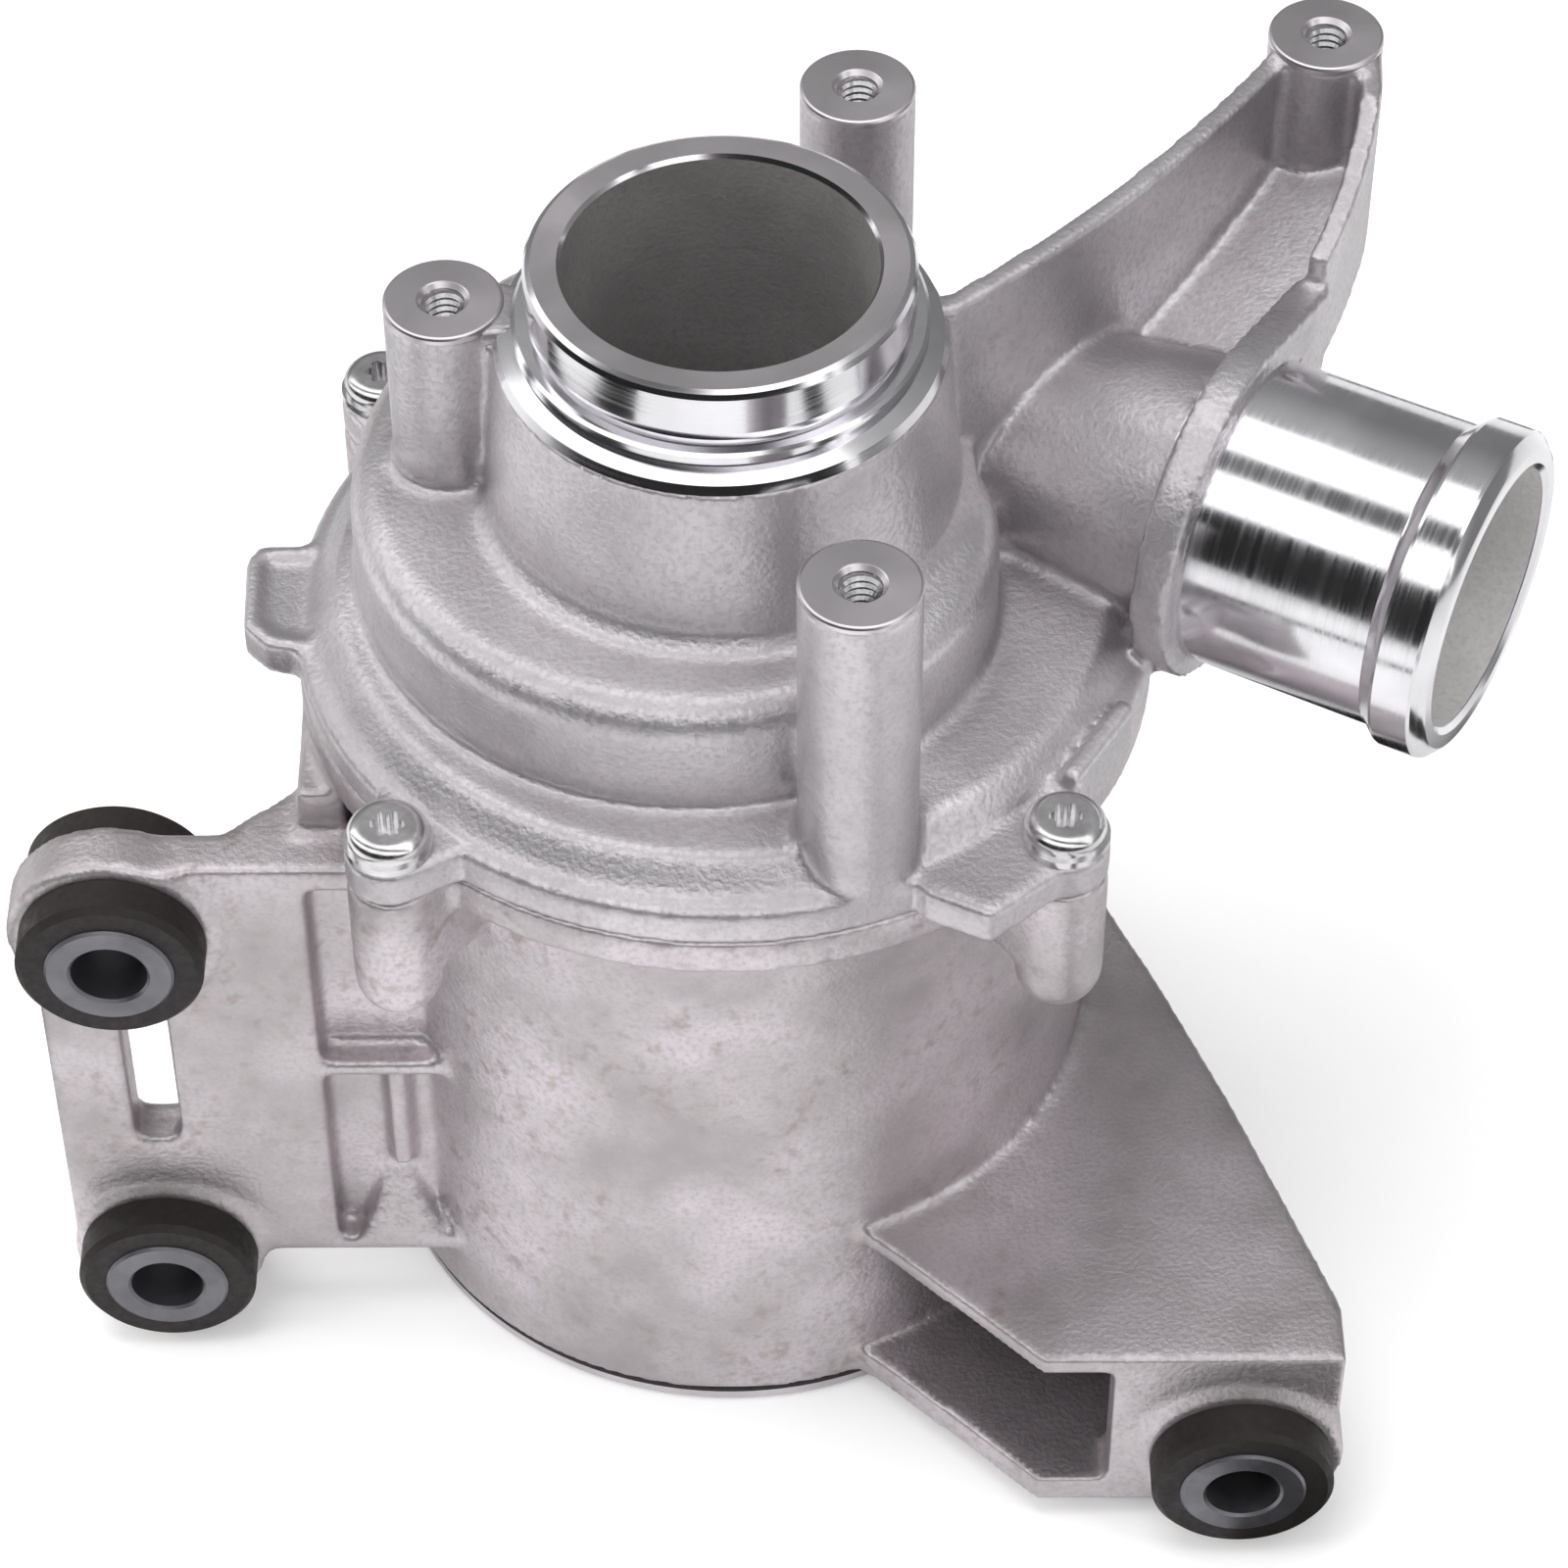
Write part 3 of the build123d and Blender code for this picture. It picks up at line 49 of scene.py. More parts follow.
# %% [markdown]
# The camera stands where the photographer stood: about 47 degrees above the table, a little over 60 cm away,
# with a long lens. We could aim an empty at the neck and track it, but plain vectors give the same picture
# on every run, so the place and the turn of the camera are worked out from two angles and a small roll.

# %% Place the camera
look_at = Vector((0.007043, 0.0, 0.067554))
camera_away = 0.6396
camera_swing = math.radians(-0.163)
camera_rise = math.radians(47.203)
camera_roll = math.radians(-0.150)
towards_camera = Vector(
    (
        math.sin(camera_swing) * math.cos(camera_rise),
        -math.cos(camera_swing) * math.cos(camera_rise),
        math.sin(camera_rise),
    )
)
lens = bpy.data.cameras.new("studio_camera")
lens.lens = 117.42
lens.sensor_width = 36.0
lens.clip_start = 0.05
camera = bpy.data.objects.new("studio_camera", lens)
bpy.context.scene.collection.objects.link(camera)
turn = towards_camera.to_track_quat("Z", "Y").to_matrix() @ Matrix.Rotation(camera_roll, 3, "Z")
camera.matrix_world = Matrix.Translation(look_at + towards_camera * camera_away) @ turn.to_4x4()
bpy.context.scene.camera = camera
bpy.context.scene.view_settings.view_transform = "Standard"
print("camera at", [round(v, 3) for v in camera.location])

# %% [markdown]
# A shader is a small graph, and every finish below starts the same way: a base shader, and noise that is laid
# in the piece's own coordinates, so that it needs no unwrapping. `noise` gives grey values of a chosen grain
# size, and `remap` stretches a stretch of grey into a range that we can use as a share or a roughness.

# %% Start a finish
def new_finish(name):
    """A material with its shader, and a node that gives object coordinates."""
    material = bpy.data.materials.new(name)
    material.use_nodes = True
    shader = material.node_tree.nodes["Principled BSDF"]
    place = material.node_tree.nodes.new("ShaderNodeTexCoord")
    return material, shader, place.outputs["Object"]


def noise(material, place, grain, detail=4.0, stretch=(1, 1, 1)):
    """Grey noise whose blotches are about one grain wide, in metres."""
    tree = material.node_tree
    scaled = tree.nodes.new("ShaderNodeMapping")
    scaled.inputs["Scale"].default_value = stretch
    tree.links.new(place, scaled.inputs["Vector"])
    texture = tree.nodes.new("ShaderNodeTexNoise")
    texture.inputs["Scale"].default_value = 1.0 / grain
    texture.inputs["Detail"].default_value = detail
    tree.links.new(scaled.outputs["Vector"], texture.inputs["Vector"])
    return texture.outputs["Fac"]


def remap(material, value, low, high, start, end):
    """Values from low to high become values from start to end."""
    ramp = material.node_tree.nodes.new("ShaderNodeMapRange")
    ramp.inputs["From Min"].default_value = low
    ramp.inputs["From Max"].default_value = high
    ramp.inputs["To Min"].default_value = start
    ramp.inputs["To Max"].default_value = end
    material.node_tree.links.new(value, ramp.inputs["Value"])
    return ramp.outputs["Result"]


print("noise and remap are ready")

# %% [markdown]
# Three more helpers put the greys to use. `blend_colours` mixes two colours by a grey, `multiply` keeps a mark
# only where two greys agree, and `bumps` stacks several grain sizes of relief, from wavy to sandy.

# %% Mix colours and stack bumps
def blend_colours(material, share, first, second):
    """Mixes two colours by a grey value; either may come from another node."""
    tree = material.node_tree
    mix = tree.nodes.new("ShaderNodeMix")
    mix.data_type = "RGBA"
    tree.links.new(share, mix.inputs["Factor"])
    for socket, colour in ((mix.inputs["A"], first), (mix.inputs["B"], second)):
        if isinstance(colour, tuple):
            socket.default_value = (*colour, 1)
        else:
            tree.links.new(colour, socket)
    return mix.outputs["Result"]


def multiply(material, first, second):
    """The product of two grey values."""
    product = material.node_tree.nodes.new("ShaderNodeMath")
    product.operation = "MULTIPLY"
    material.node_tree.links.new(first, product.inputs[0])
    material.node_tree.links.new(second, product.inputs[1])
    return product.outputs["Value"]


def bumps(material, shader, heights):
    """Adds up several bumps, each a grey value with its depth in metres."""
    tree = material.node_tree
    last = None
    for value, depth in heights:
        bump = tree.nodes.new("ShaderNodeBump")
        bump.inputs["Distance"].default_value = depth
        tree.links.new(value, bump.inputs["Height"])
        if last is not None:
            tree.links.new(last, bump.inputs["Normal"])
        last = bump.outputs["Normal"]
    tree.links.new(last, shader.inputs["Normal"])


print("mixing and bumps are ready")

# %% [markdown]
# Sand-grained die-cast aluminium is the main finish. Up close it is a fine grey grain; from a step away it has
# cloudy patches of lilac and warm grey, and clusters of small brown stains. The edges get a painted highlight:
# where the Pointiness output finds an edge, the colour turns lighter, standing in for the light that rounded
# edges catch. A flat grey metal would look like plastic, so the colour, the gloss and the surface all get their
# own noise, each at its own grain size.

# %% Mix die-cast aluminium
cloud_size = 0.022
cluster_size = 0.016
wave_size = 0.008
patch_size = 0.006
stain_size = 0.0022
sand_size = 0.0007
sand_depth = 0.0001
wave_depth = 0.0001
stain_colour = (0.36, 0.30, 0.28)
# painted highlight: the lighter colour that edges turn to
edge_highlight_colour = (0.92, 0.91, 0.92)
stain_fade = 0.003


def cast_aluminium(
    name, light, dark, stained, rough=(0.34, 0.48), clean_from=1.0, edge_highlight=0.4, metallic=0.9
):
    """Sand-grained casting with a painted highlight on its edges; the stains fade out where the local X passes
    clean_from.
    """
    material, shader, place = new_finish(name)
    tree = material.node_tree
    parts = tree.nodes.new("ShaderNodeSeparateXYZ")
    tree.links.new(place, parts.inputs["Vector"])
    cloud = remap(material, noise(material, place, cloud_size, 5.0), 0.38, 0.66, 0.0, 1.0)
    patch = remap(material, noise(material, place, patch_size, 6.0), 0.35, 0.68, 0.0, 0.6)
    sand = noise(material, place, sand_size, 3.0)
    pits = remap(material, sand, 0.45, 0.7, 0.0, 0.5)
    stain = remap(material, noise(material, place, stain_size, 6.0), 0.53, 0.7, 0.0, stained)
    clusters = remap(material, noise(material, place, cluster_size, 3.0), 0.42, 0.58, 0.1, 1.0)
    clean_start = clean_from - stain_fade
    clean_end = clean_from + stain_fade
    dirty = remap(material, parts.outputs["X"], clean_start, clean_end, 1.0, 0.05)
    stains = multiply(material, multiply(material, stain, clusters), dirty)
    edge = tree.nodes.new("ShaderNodeNewGeometry").outputs["Pointiness"]
    middle = tuple(0.5 * (a + b) for a, b in zip(light, dark))
    pit_colour = tuple(0.78 * c for c in middle)
    colour = blend_colours(material, cloud, dark, light)
    colour = blend_colours(material, patch, colour, middle)
    colour = blend_colours(material, pits, colour, pit_colour)
    colour = blend_colours(material, stains, colour, stain_colour)
    # painted highlight: edges that Pointiness finds are mixed towards a lighter colour
    painted_edge_highlight = remap(material, edge, 0.53, 0.64, 0.0, edge_highlight)
    colour = blend_colours(material, painted_edge_highlight, colour, edge_highlight_colour)
    tree.links.new(colour, shader.inputs["Base Color"])
    tree.links.new(remap(material, sand, 0.3, 0.7, *rough), shader.inputs["Roughness"])
    shader.inputs["Metallic"].default_value = metallic
    waves = noise(material, place, wave_size, 2.0)
    bumps(material, shader, ((waves, wave_depth), (sand, sand_depth)))
    return material


print("the recipe for castings is ready")

# %% [markdown]
# Four mixes serve the castings. The cover is the cleaner one. The motor housing has lilac patches and stains,
# but its right bracket, past X = 38 mm, is clean. The two bores are the cover's own sand-cast metal with light
# and
# shade painted into the colour: the outlet bore is painted pale, as painted light, and the deep inlet bore is
# painted dark, as painted shade. They are less metallic, because a mirror in a hole would only show black.

# %% Mix the four castings
bracket_x = 0.038
bore_rough = (0.5, 0.65)
bore_metallic = 0.3
cover_metal = cast_aluminium("cast_cover", (0.73, 0.70, 0.725), (0.53, 0.505, 0.525), 0.2)
body_metal = cast_aluminium(
    "cast_body", (0.76, 0.70, 0.735), (0.44, 0.41, 0.42), 0.6, clean_from=bracket_x
)
# painted light: the spigot bore is the cover's metal, painted paler as if lit
spigot_bore_painted_light = cast_aluminium(
    "spigot_bore_with_painted_light",
    (0.92, 0.90, 0.90),
    (0.74, 0.72, 0.72),
    0.1,
    rough=bore_rough,
    edge_highlight=0.0,
    metallic=bore_metallic,
)
# painted shade: the inlet bore is the cover's metal, painted darker for the shade in the deep hole
inlet_painted_shade = cast_aluminium(
    "inlet_bore_with_painted_shade",
    (0.42, 0.40, 0.40),
    (0.29, 0.275, 0.275),
    0.1,
    rough=bore_rough,
    edge_highlight=0.0,
    metallic=bore_metallic,
)
print("castings:", cover_metal.name, body_metal.name, spigot_bore_painted_light.name, inlet_painted_shade.name)

# %% [markdown]
# Turned metal keeps the marks of the cutting tool as fine rings. They spread a highlight sideways, along the
# axis of the part, and that is why the neck and the spigot show long bright and dark bands. Anisotropy with a
# radial tangent gives this for little cost; real grooves of that size would take millions of faces.

# %% Mix turned aluminium
ring_pitch = 0.0004
ring_depth = 0.000002
haze_size = 0.012
around_and_along = (0.02, 0.02, 1.0)


def turned_aluminium(name, colour, rough, spread):
    """Bright turned metal; its rings run around the piece's own Z axis."""
    material, shader, place = new_finish(name)
    tree = material.node_tree
    rings = noise(material, place, ring_pitch, 2.0, stretch=around_and_along)
    haze = remap(material, noise(material, place, haze_size, 4.0), 0.4, 0.65, 0, 1)
    tint = tuple(0.82 * c for c in colour)
    tree.links.new(blend_colours(material, haze, tint, colour), shader.inputs["Base Color"])
    tree.links.new(remap(material, rings, 0.3, 0.7, *rough), shader.inputs["Roughness"])
    shader.inputs["Metallic"].default_value = 1.0
    shader.inputs["Anisotropic"].default_value = spread
    tangent = tree.nodes.new("ShaderNodeTangent")
    tangent.direction_type = "RADIAL"
    tangent.axis = "Z"
    tree.links.new(tangent.outputs["Tangent"], shader.inputs["Tangent"])
    bumps(material, shader, ((rings, ring_depth),))
    return material


bright_turned = turned_aluminium("turned_bright", (0.88, 0.87, 0.90), (0.09, 0.17), 0.6)
faced_metal = turned_aluminium("faced_matt", (0.80, 0.76, 0.79), (0.26, 0.36), 0.3)
print("turned finishes:", bright_turned.name, faced_metal.name)

# %% [markdown]
# The other finishes are plain ones with a little life in them: rubber with a dusty bloom, zinc on the screws,
# dull steel on the sleeves, black plastic, copper and magnet grey for the parts inside the motor. One recipe
# serves them all: a mottled colour, a grain that changes the gloss, and the same grain as a faint relief.

# %% Mix rubber, steel, plastic and copper
def simple_finish(name, colour, metal, rough, grain=0.0012, depth=0.00003, tint=0.7):
    """A mottled colour with a fine grain."""
    material, shader, place = new_finish(name)
    mottled = noise(material, place, 6 * grain, 4.0)
    fine = noise(material, place, grain, 3.0)
    shade = tuple(tint * c for c in colour)
    share = remap(material, mottled, 0.35, 0.65, 0.0, 1.0)
    tree = material.node_tree
    tree.links.new(blend_colours(material, share, shade, colour), shader.inputs["Base Color"])
    tree.links.new(remap(material, fine, 0.3, 0.7, *rough), shader.inputs["Roughness"])
    shader.inputs["Metallic"].default_value = metal
    bumps(material, shader, ((fine, depth),))
    return material


rubber = simple_finish("rubber", (0.013, 0.0085, 0.008), 0.0, (0.5, 0.7))
sleeve_steel = simple_finish("sleeve_steel", (0.22, 0.22, 0.24), 0.9, (0.34, 0.48))
zinc = simple_finish("zinc", (0.78, 0.77, 0.78), 1.0, (0.16, 0.26), grain=0.0008, depth=0.00001)
plain_steel = simple_finish("plain_steel", (0.55, 0.55, 0.56), 1.0, (0.2, 0.32))
black_plastic = simple_finish("black_plastic", (0.028, 0.028, 0.03), 0.0, (0.38, 0.5))
white_plastic = simple_finish("white_plastic", (0.62, 0.6, 0.55), 0.0, (0.4, 0.5), tint=0.9)
copper = simple_finish("copper", (0.72, 0.33, 0.17), 1.0, (0.25, 0.4))
iron = simple_finish("laminated_iron", (0.26, 0.26, 0.27), 1.0, (0.35, 0.5))
magnet = simple_finish("magnet", (0.09, 0.09, 0.095), 0.6, (0.4, 0.55))
board_green = simple_finish("board_green", (0.02, 0.13, 0.06), 0.0, (0.3, 0.4))
print("other finishes are ready")

# %% [markdown]
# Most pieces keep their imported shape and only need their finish. The pieces inside the motor get one too: a
# reader who takes the cover off should find copper coils and iron laminations there, and not grey blanks.

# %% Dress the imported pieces
def dress(material, *names):
    """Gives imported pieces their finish."""
    for name in names:
        nodes[name].data.materials.clear()
        nodes[name].data.materials.append(material)


dress(cover_metal, "pump_cover")
dress(body_metal, "motor_housing")
dress(rubber, "bushing_upper", "bushing_lower", "bushing_right", "cover_seal", "end_cover_gasket")
dress(sleeve_steel, "sleeve_upper", "sleeve_lower", "sleeve_right")
dress(zinc, "cover_screws", "end_cover_screws", "connector_screws", "shaft_nut")
dress(plain_steel, "rotor_shaft", "separating_can", "thrust_washers", "rotor_jacket")
dress(black_plastic, "connector_socket", "power_switches", "impeller", "impeller_shroud")
dress(black_plastic, "bearing_rear", "bearing_front")
dress(white_plastic, "stator_insulators")
dress(copper, "stator_windings", "phase_leads", "connector_pins")
dress(iron, "stator_core", "rotor_core")
dress(magnet, "rotor_magnets")
dress(faced_metal, "end_cover", "board_capacitors")
dress(board_green, "control_board")
print("dressed:", len(nodes))

# %% [markdown]
# A casting has no sharp edge: the mould is rounded, and the sand blasting takes off what is left. The packed
# solids have crisp edges, so we cast them again. A voxel remesh melts the copied mesh into an even skin, and a
# few rounds of smoothing leave a fillet of about a millimetre on every edge. A bevel would need clean edge
# loops, and these shapes have many blends where it would tear.

# %% Write the recipe for a cast skin
weld_distance = 0.000002


def bare_mesh(node_name):
    """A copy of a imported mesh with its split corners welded."""
    shape = bmesh.new()
    shape.from_mesh(nodes[node_name].data)
    bmesh.ops.remove_doubles(shape, verts=shape.verts, dist=weld_distance)
    mesh = bpy.data.meshes.new(node_name + "_copy")
    shape.to_mesh(mesh)
    shape.free()
    return mesh


def cast_skin(node_name, piece_name, voxel, rounds, finishes):
    """Remeshes a packed casting into a soft-edged skin, and puts it in the casting's place."""
    rough = bpy.data.objects.new(piece_name + "_rough", bare_mesh(node_name))
    bpy.context.scene.collection.objects.link(rough)
    melt = rough.modifiers.new("melt", "REMESH")
    melt.mode = "VOXEL"
    melt.voxel_size = voxel
    melt.use_smooth_shade = True
    soften = rough.modifiers.new("soften", "SMOOTH")
    soften.factor = 0.5
    soften.iterations = rounds
    bpy.context.view_layer.update()
    cast = rough.evaluated_get(bpy.context.evaluated_depsgraph_get())
    mesh = bpy.data.meshes.new_from_object(cast)
    bpy.data.objects.remove(rough)
    mesh.name = piece_name
    mesh.materials.clear()
    for finish in finishes:
        mesh.materials.append(finish)
    skin = bpy.data.objects.new(piece_name, mesh)
    bpy.context.scene.collection.objects.link(skin)
    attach(skin, "pump_body")
    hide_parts(node_name)
    print(piece_name, "has", len(mesh.polygons), "faces")
    return skin


# %% [markdown]
# The cover has the finer details, so its voxels are 0.7 mm wide; the housing does with 0.8 mm. Smaller voxels
# would sharpen the edges again and make files that are too big to send. The cover's second finish waits for
# the wall of the inlet bore.

# %% Cast the cover and the motor housing
smoothing_rounds = 4
cover_finishes = (cover_metal, inlet_painted_shade)
cover_skin = cast_skin("pump_cover", "cover_casting", 0.7 * mm, smoothing_rounds, cover_finishes)
cast_skin("motor_housing", "motor_casting", 0.8 * mm, smoothing_rounds, (body_metal,))

# %% [markdown]
# Three kinds of place on the cover are cut in a lathe or a mill after casting, and there the edges must stay
# crisp: the neck, the hose spigot and the tops of the bosses. First come their sizes, which are those of the
# solid, and the axis of the outlet, which lies flat and points to the right and a little to the front.

# %% Measure the machined places
outlet_angle = math.radians(-28.8)
outlet_axis = Vector((math.cos(outlet_angle), math.sin(outlet_angle), 0))
outlet_side = Vector((-outlet_axis.y, outlet_axis.x, 0))
outlet_centre = outlet_side * 32.5 * mm + Vector((0, 0, 112.0 * mm))
collar_face = 52.6 * mm
outlet_end = 84.6 * mm
neck_bore_r = 18.2 * mm
neck_cast_z = 142.6 * mm
neck_top_z = 154.5 * mm
mount_plane_z = 144.8 * mm
boss_r = 7.0 * mm
boss_spots = ((16.2, 42.3), (-31.9, 4.5), (15.3, -41.9), (73.0, 51.8))
print("outlet axis", [round(v, 3) for v in outlet_axis], "bosses:", len(boss_spots))

# %% [markdown]
# The soft skin must not poke through the crisp metal. Cutting it away would leave holes, so we push it inside:
# at the neck and the spigot every point moves to one radius, in the middle of the wall, and at the bosses it
# sinks by 0.6 mm. What shows of the skin inside the inlet takes the dark finish.

# %% Sink the skin under the machined places
neck_hidden_r = 20.3 * mm
neck_reach_r = 27 * mm
spigot_hidden_r = 17.4 * mm
spigot_inner_r = 15.6 * mm
spigot_reach_r = 22 * mm
end_sink = 0.9 * mm
boss_sink = 0.6 * mm
start_gap = 0.2 * mm


def set_radius(point, axis_point, axis, radius):
    """Moves a point straight in or out until it lies at a radius from an axis."""
    along = (point - axis_point).dot(axis)
    foot = axis_point + axis * along
    return foot + (point - foot).normalized() * radius


def sink_neck(place):
    from_axis = math.hypot(place.x, place.y)
    inner = neck_bore_r - 0.8 * mm
    if place.z > neck_cast_z + start_gap and inner < from_axis < neck_reach_r:
        place = set_radius(place, Vector((0, 0, 0)), Vector((0, 0, 1)), neck_hidden_r)
        place.z = min(place.z, neck_top_z - end_sink)
    return place


def sink_spigot(place):
    along = (place - outlet_centre).dot(outlet_axis)
    if along > collar_face + start_gap:
        off = (place - outlet_centre - outlet_axis * along).length
        if spigot_inner_r < off < spigot_reach_r:
            place = set_radius(place, outlet_centre, outlet_axis, spigot_hidden_r)
        if off < spigot_reach_r and along > outlet_end - end_sink:
            place -= outlet_axis * (along - outlet_end + end_sink)
    return place


def sink_bosses(place):
    for x, y in boss_spots:
        off = math.hypot(place.x - x * mm, place.y - y * mm)
        if off < boss_r + 0.3 * mm and place.z > mount_plane_z - boss_sink:
            place.z = mount_plane_z - boss_sink
    return place


points_sunk = 0
for vertex in cover_skin.data.vertices:
    sunk = sink_bosses(sink_spigot(sink_neck(vertex.co.copy())))
    if (sunk - vertex.co).length > 0:
        vertex.co = sunk
        points_sunk += 1
# faces inside the inlet bore take the finish with painted shade
for face in cover_skin.data.polygons:
    if math.hypot(face.center.x, face.center.y) < neck_bore_r + 0.5 * mm:
        face.material_index = 1
print("points sunk:", points_sunk)

# %% [markdown]
# A lathe makes a shape by turning an outline about an axis, and so do we. Each shell is a closed outline of
# radius and height, spun in 160 steps. The Screw modifier could do it, but with our own rings we know which
# stretch of the outline each face belongs to, and can give it another finish.

# %% Build a lathe
sharp_angle = math.radians(18)
upright = Matrix.Identity(4)


def add_to_cover(name, shape, finishes, around=upright):
    """Turns a finished shape into a piece that sits on the pump."""
    bmesh.ops.recalc_face_normals(shape, faces=shape.faces)
    mesh = bpy.data.meshes.new(name)
    shape.to_mesh(mesh)
    shape.free()
    for finish in finishes:
        mesh.materials.append(finish)
    piece = bpy.data.objects.new(name, mesh)
    bpy.context.scene.collection.objects.link(piece)
    piece.matrix_world = around
    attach(piece, "pump_body")
    return piece


def turned_shell(name, outline, finishes, around=upright, steps=160, other=()):
    """Spins an outline of radius and height in millimetres about the local Z axis.

    Each pair in other holds the number of a stretch of the outline and that of its finish.
    """
    finish_numbers = dict(other)
    shape = bmesh.new()
    rings = []
    for radius, height in outline:
        ring = []
        for step in range(steps):
            angle = 2 * math.pi * step / steps
            x = radius * mm * math.cos(angle)
            y = radius * mm * math.sin(angle)
            ring.append(shape.verts.new((x, y, height * mm)))
        rings.append(ring)
    for number, lower in enumerate(rings):
        upper = rings[(number + 1) % len(rings)]
        for step in range(steps):
            after = (step + 1) % steps
            face = shape.faces.new((lower[step], lower[after], upper[after], upper[step]))
            face.material_index = finish_numbers.get(number, 0)
    piece = add_to_cover(name, shape, finishes, around)
    piece.data.shade_smooth()
    piece.data.set_sharp_from_angle(angle=sharp_angle)


print("the lathe is ready")

# %% [markdown]
# The inlet neck has a faced top, a bright land for the hose, a groove, and a wider land with a chamfer that
# meets the casting. Its outline starts inside the bore, goes up over the rim, and comes down outside. The wall
# of the bore is the first stretch and takes the dark inlet finish, with its painted shade; the faced rim is the
# third.

# %% Turn the inlet neck
neck_outline = (
    (18.12, 140.6),
    (18.12, 153.9),
    (18.5, 154.42),
    (21.45, 154.5),
    (22.05, 154.2),
    (22.4, 153.6),
    (22.4, 148.6),
    (21.7, 148.35),
    (21.6, 147.9),
    (21.6, 147.0),
    (23.5, 146.75),
    (23.9, 146.4),
    (23.9, 145.1),
    (23.2, 144.95),
    (23.2, 144.6),
    (24.1, 144.3),
    (25.6, 143.75),
    (26.12, 142.7),
    (25.5, 141.9),
    (21.0, 141.9),
)
neck_finishes = (bright_turned, faced_metal, inlet_painted_shade)
turned_shell("neck_turned", neck_outline, neck_finishes, other=((0, 2), (2, 1)))
print("neck has", len(neck_outline), "corners in its outline")

# %% [markdown]
# The hose spigot is turned the same way, about the outlet axis: a straight tube of 37.5 mm, a bead of 40.8 mm
# that keeps the hose on, and a chamfered mouth. A thin sleeve inside gives the bore its sandy wall, painted pale
# as painted light.

# %% Turn the hose spigot
outlet_turn = outlet_axis.to_track_quat("Z", "Y").to_matrix().to_4x4()
spigot_place = Matrix.Translation(outlet_centre) @ outlet_turn
spigot_outline = (
    (17.6, 50.4),
    (18.75, 50.4),
    (18.75, 76.3),
    (18.95, 76.7),
    (20.25, 78.1),
    (20.4, 78.5),
    (20.4, 82.9),
    (20.2, 83.3),
    (19.0, 84.4),
    (18.6, 84.6),
    (16.9, 84.6),
    (16.15, 84.1),
    (16.3, 83.6),
    (17.2, 78.0),
)
bore_outline = ((16.12, 46.4), (16.12, 83.9), (16.7, 83.9), (16.7, 46.4))
turned_shell("spigot_turned", spigot_outline, (bright_turned,), spigot_place)
turned_shell("spigot_bore", bore_outline, (spigot_bore_painted_light,), spigot_place)
print("spigot and its bore are turned")

# %% [markdown]
# The four bosses are milled flat on top, so that the bracket they carry sits true. Each gets a small cap with
# a broken outer edge and a countersunk hole. One outline serves all four; only the place differs.

# %% Face the bosses
boss_outline = (
    (2.95, 142.6),
    (2.5, 143.2),
    (2.5, 144.2),
    (2.95, 144.72),
    (3.1, 144.8),
    (6.6, 144.8),
    (6.85, 144.7),
    (7.0, 144.45),
    (7.0, 143.9),
    (6.6, 143.3),
)
boss_names = ("boss_face_rear", "boss_face_left", "boss_face_front", "boss_face_arm")
for name, (x, y) in zip(boss_names, boss_spots):
    boss_place = Matrix.Translation((x * mm, y * mm, 0))
    turned_shell(name, boss_outline, (faced_metal,), boss_place, steps=64)
print("bosses faced:", len(boss_names))

# %% [markdown]
# The tapped holes are plain cylinders in the solid. Their threads are what the eye looks for in the
# photograph, so each hole gets a helical ridge: a small triangle that is swept along a helix of 1 mm pitch.
# A bump map would fake it from above, but the holes are seen at a slant, where only real ridges hide each other.

# %% Cut the threads
thread_turns = 11
thread_pitch = 1.0
thread_root_r = 2.52
thread_crest_r = 2.05
thread_steps = 28
thread_half = 0.46 * thread_pitch
thread_start_z = mount_plane_z / mm - 1.4


def thread(name, spot):
    """A triangular ridge that winds down a tapped hole."""
    shape = bmesh.new()
    last = None
    for step in range(thread_turns * thread_steps + 1):
        angle = 2 * math.pi * step / thread_steps
        height = thread_start_z - thread_pitch * step / thread_steps
        row = []
        for radius, z in (
            (thread_root_r, height + thread_half),
            (thread_crest_r, height),
            (thread_root_r, height - thread_half),
        ):
            x = (spot[0] + radius * math.cos(angle)) * mm
            y = (spot[1] + radius * math.sin(angle)) * mm
            row.append(shape.verts.new((x, y, z * mm)))
        if last is None:
            shape.faces.new(row)
        else:
            for first, second in ((0, 1), (1, 2), (2, 0)):
                shape.faces.new((last[first], last[second], row[second], row[first]))
        last = row
    shape.faces.new(last[::-1])
    add_to_cover(name, shape, (plain_steel,))


thread_names = ("thread_rear", "thread_left", "thread_front", "thread_arm")
for name, spot in zip(thread_names, boss_spots):
    thread(name, spot)
print("threads cut:", len(thread_names))

# %% [markdown]
# The photograph has a white table that fades into a white wall, with a soft grey shadow under the pump.
# A large plain floor is enough. The camera sees it a little brighter than it is, which keeps the page white
# and leaves only the shadow grey.

# %% Lay the white floor
floor_size = 3.0
floor_drop = 0.0005
camera_lift = 0.24
floor_corners = [
    (x * floor_size, y * floor_size, 0) for x, y in ((-1, -1), (1, -1), (1, 1), (-1, 1))
]
floor_mesh = bpy.data.meshes.new("studio_floor")
floor_mesh.from_pydata(floor_corners, [], [(0, 1, 2, 3)])
floor = bpy.data.objects.new("studio_floor", floor_mesh)
floor.location.z = -floor_drop
bpy.context.scene.collection.objects.link(floor)

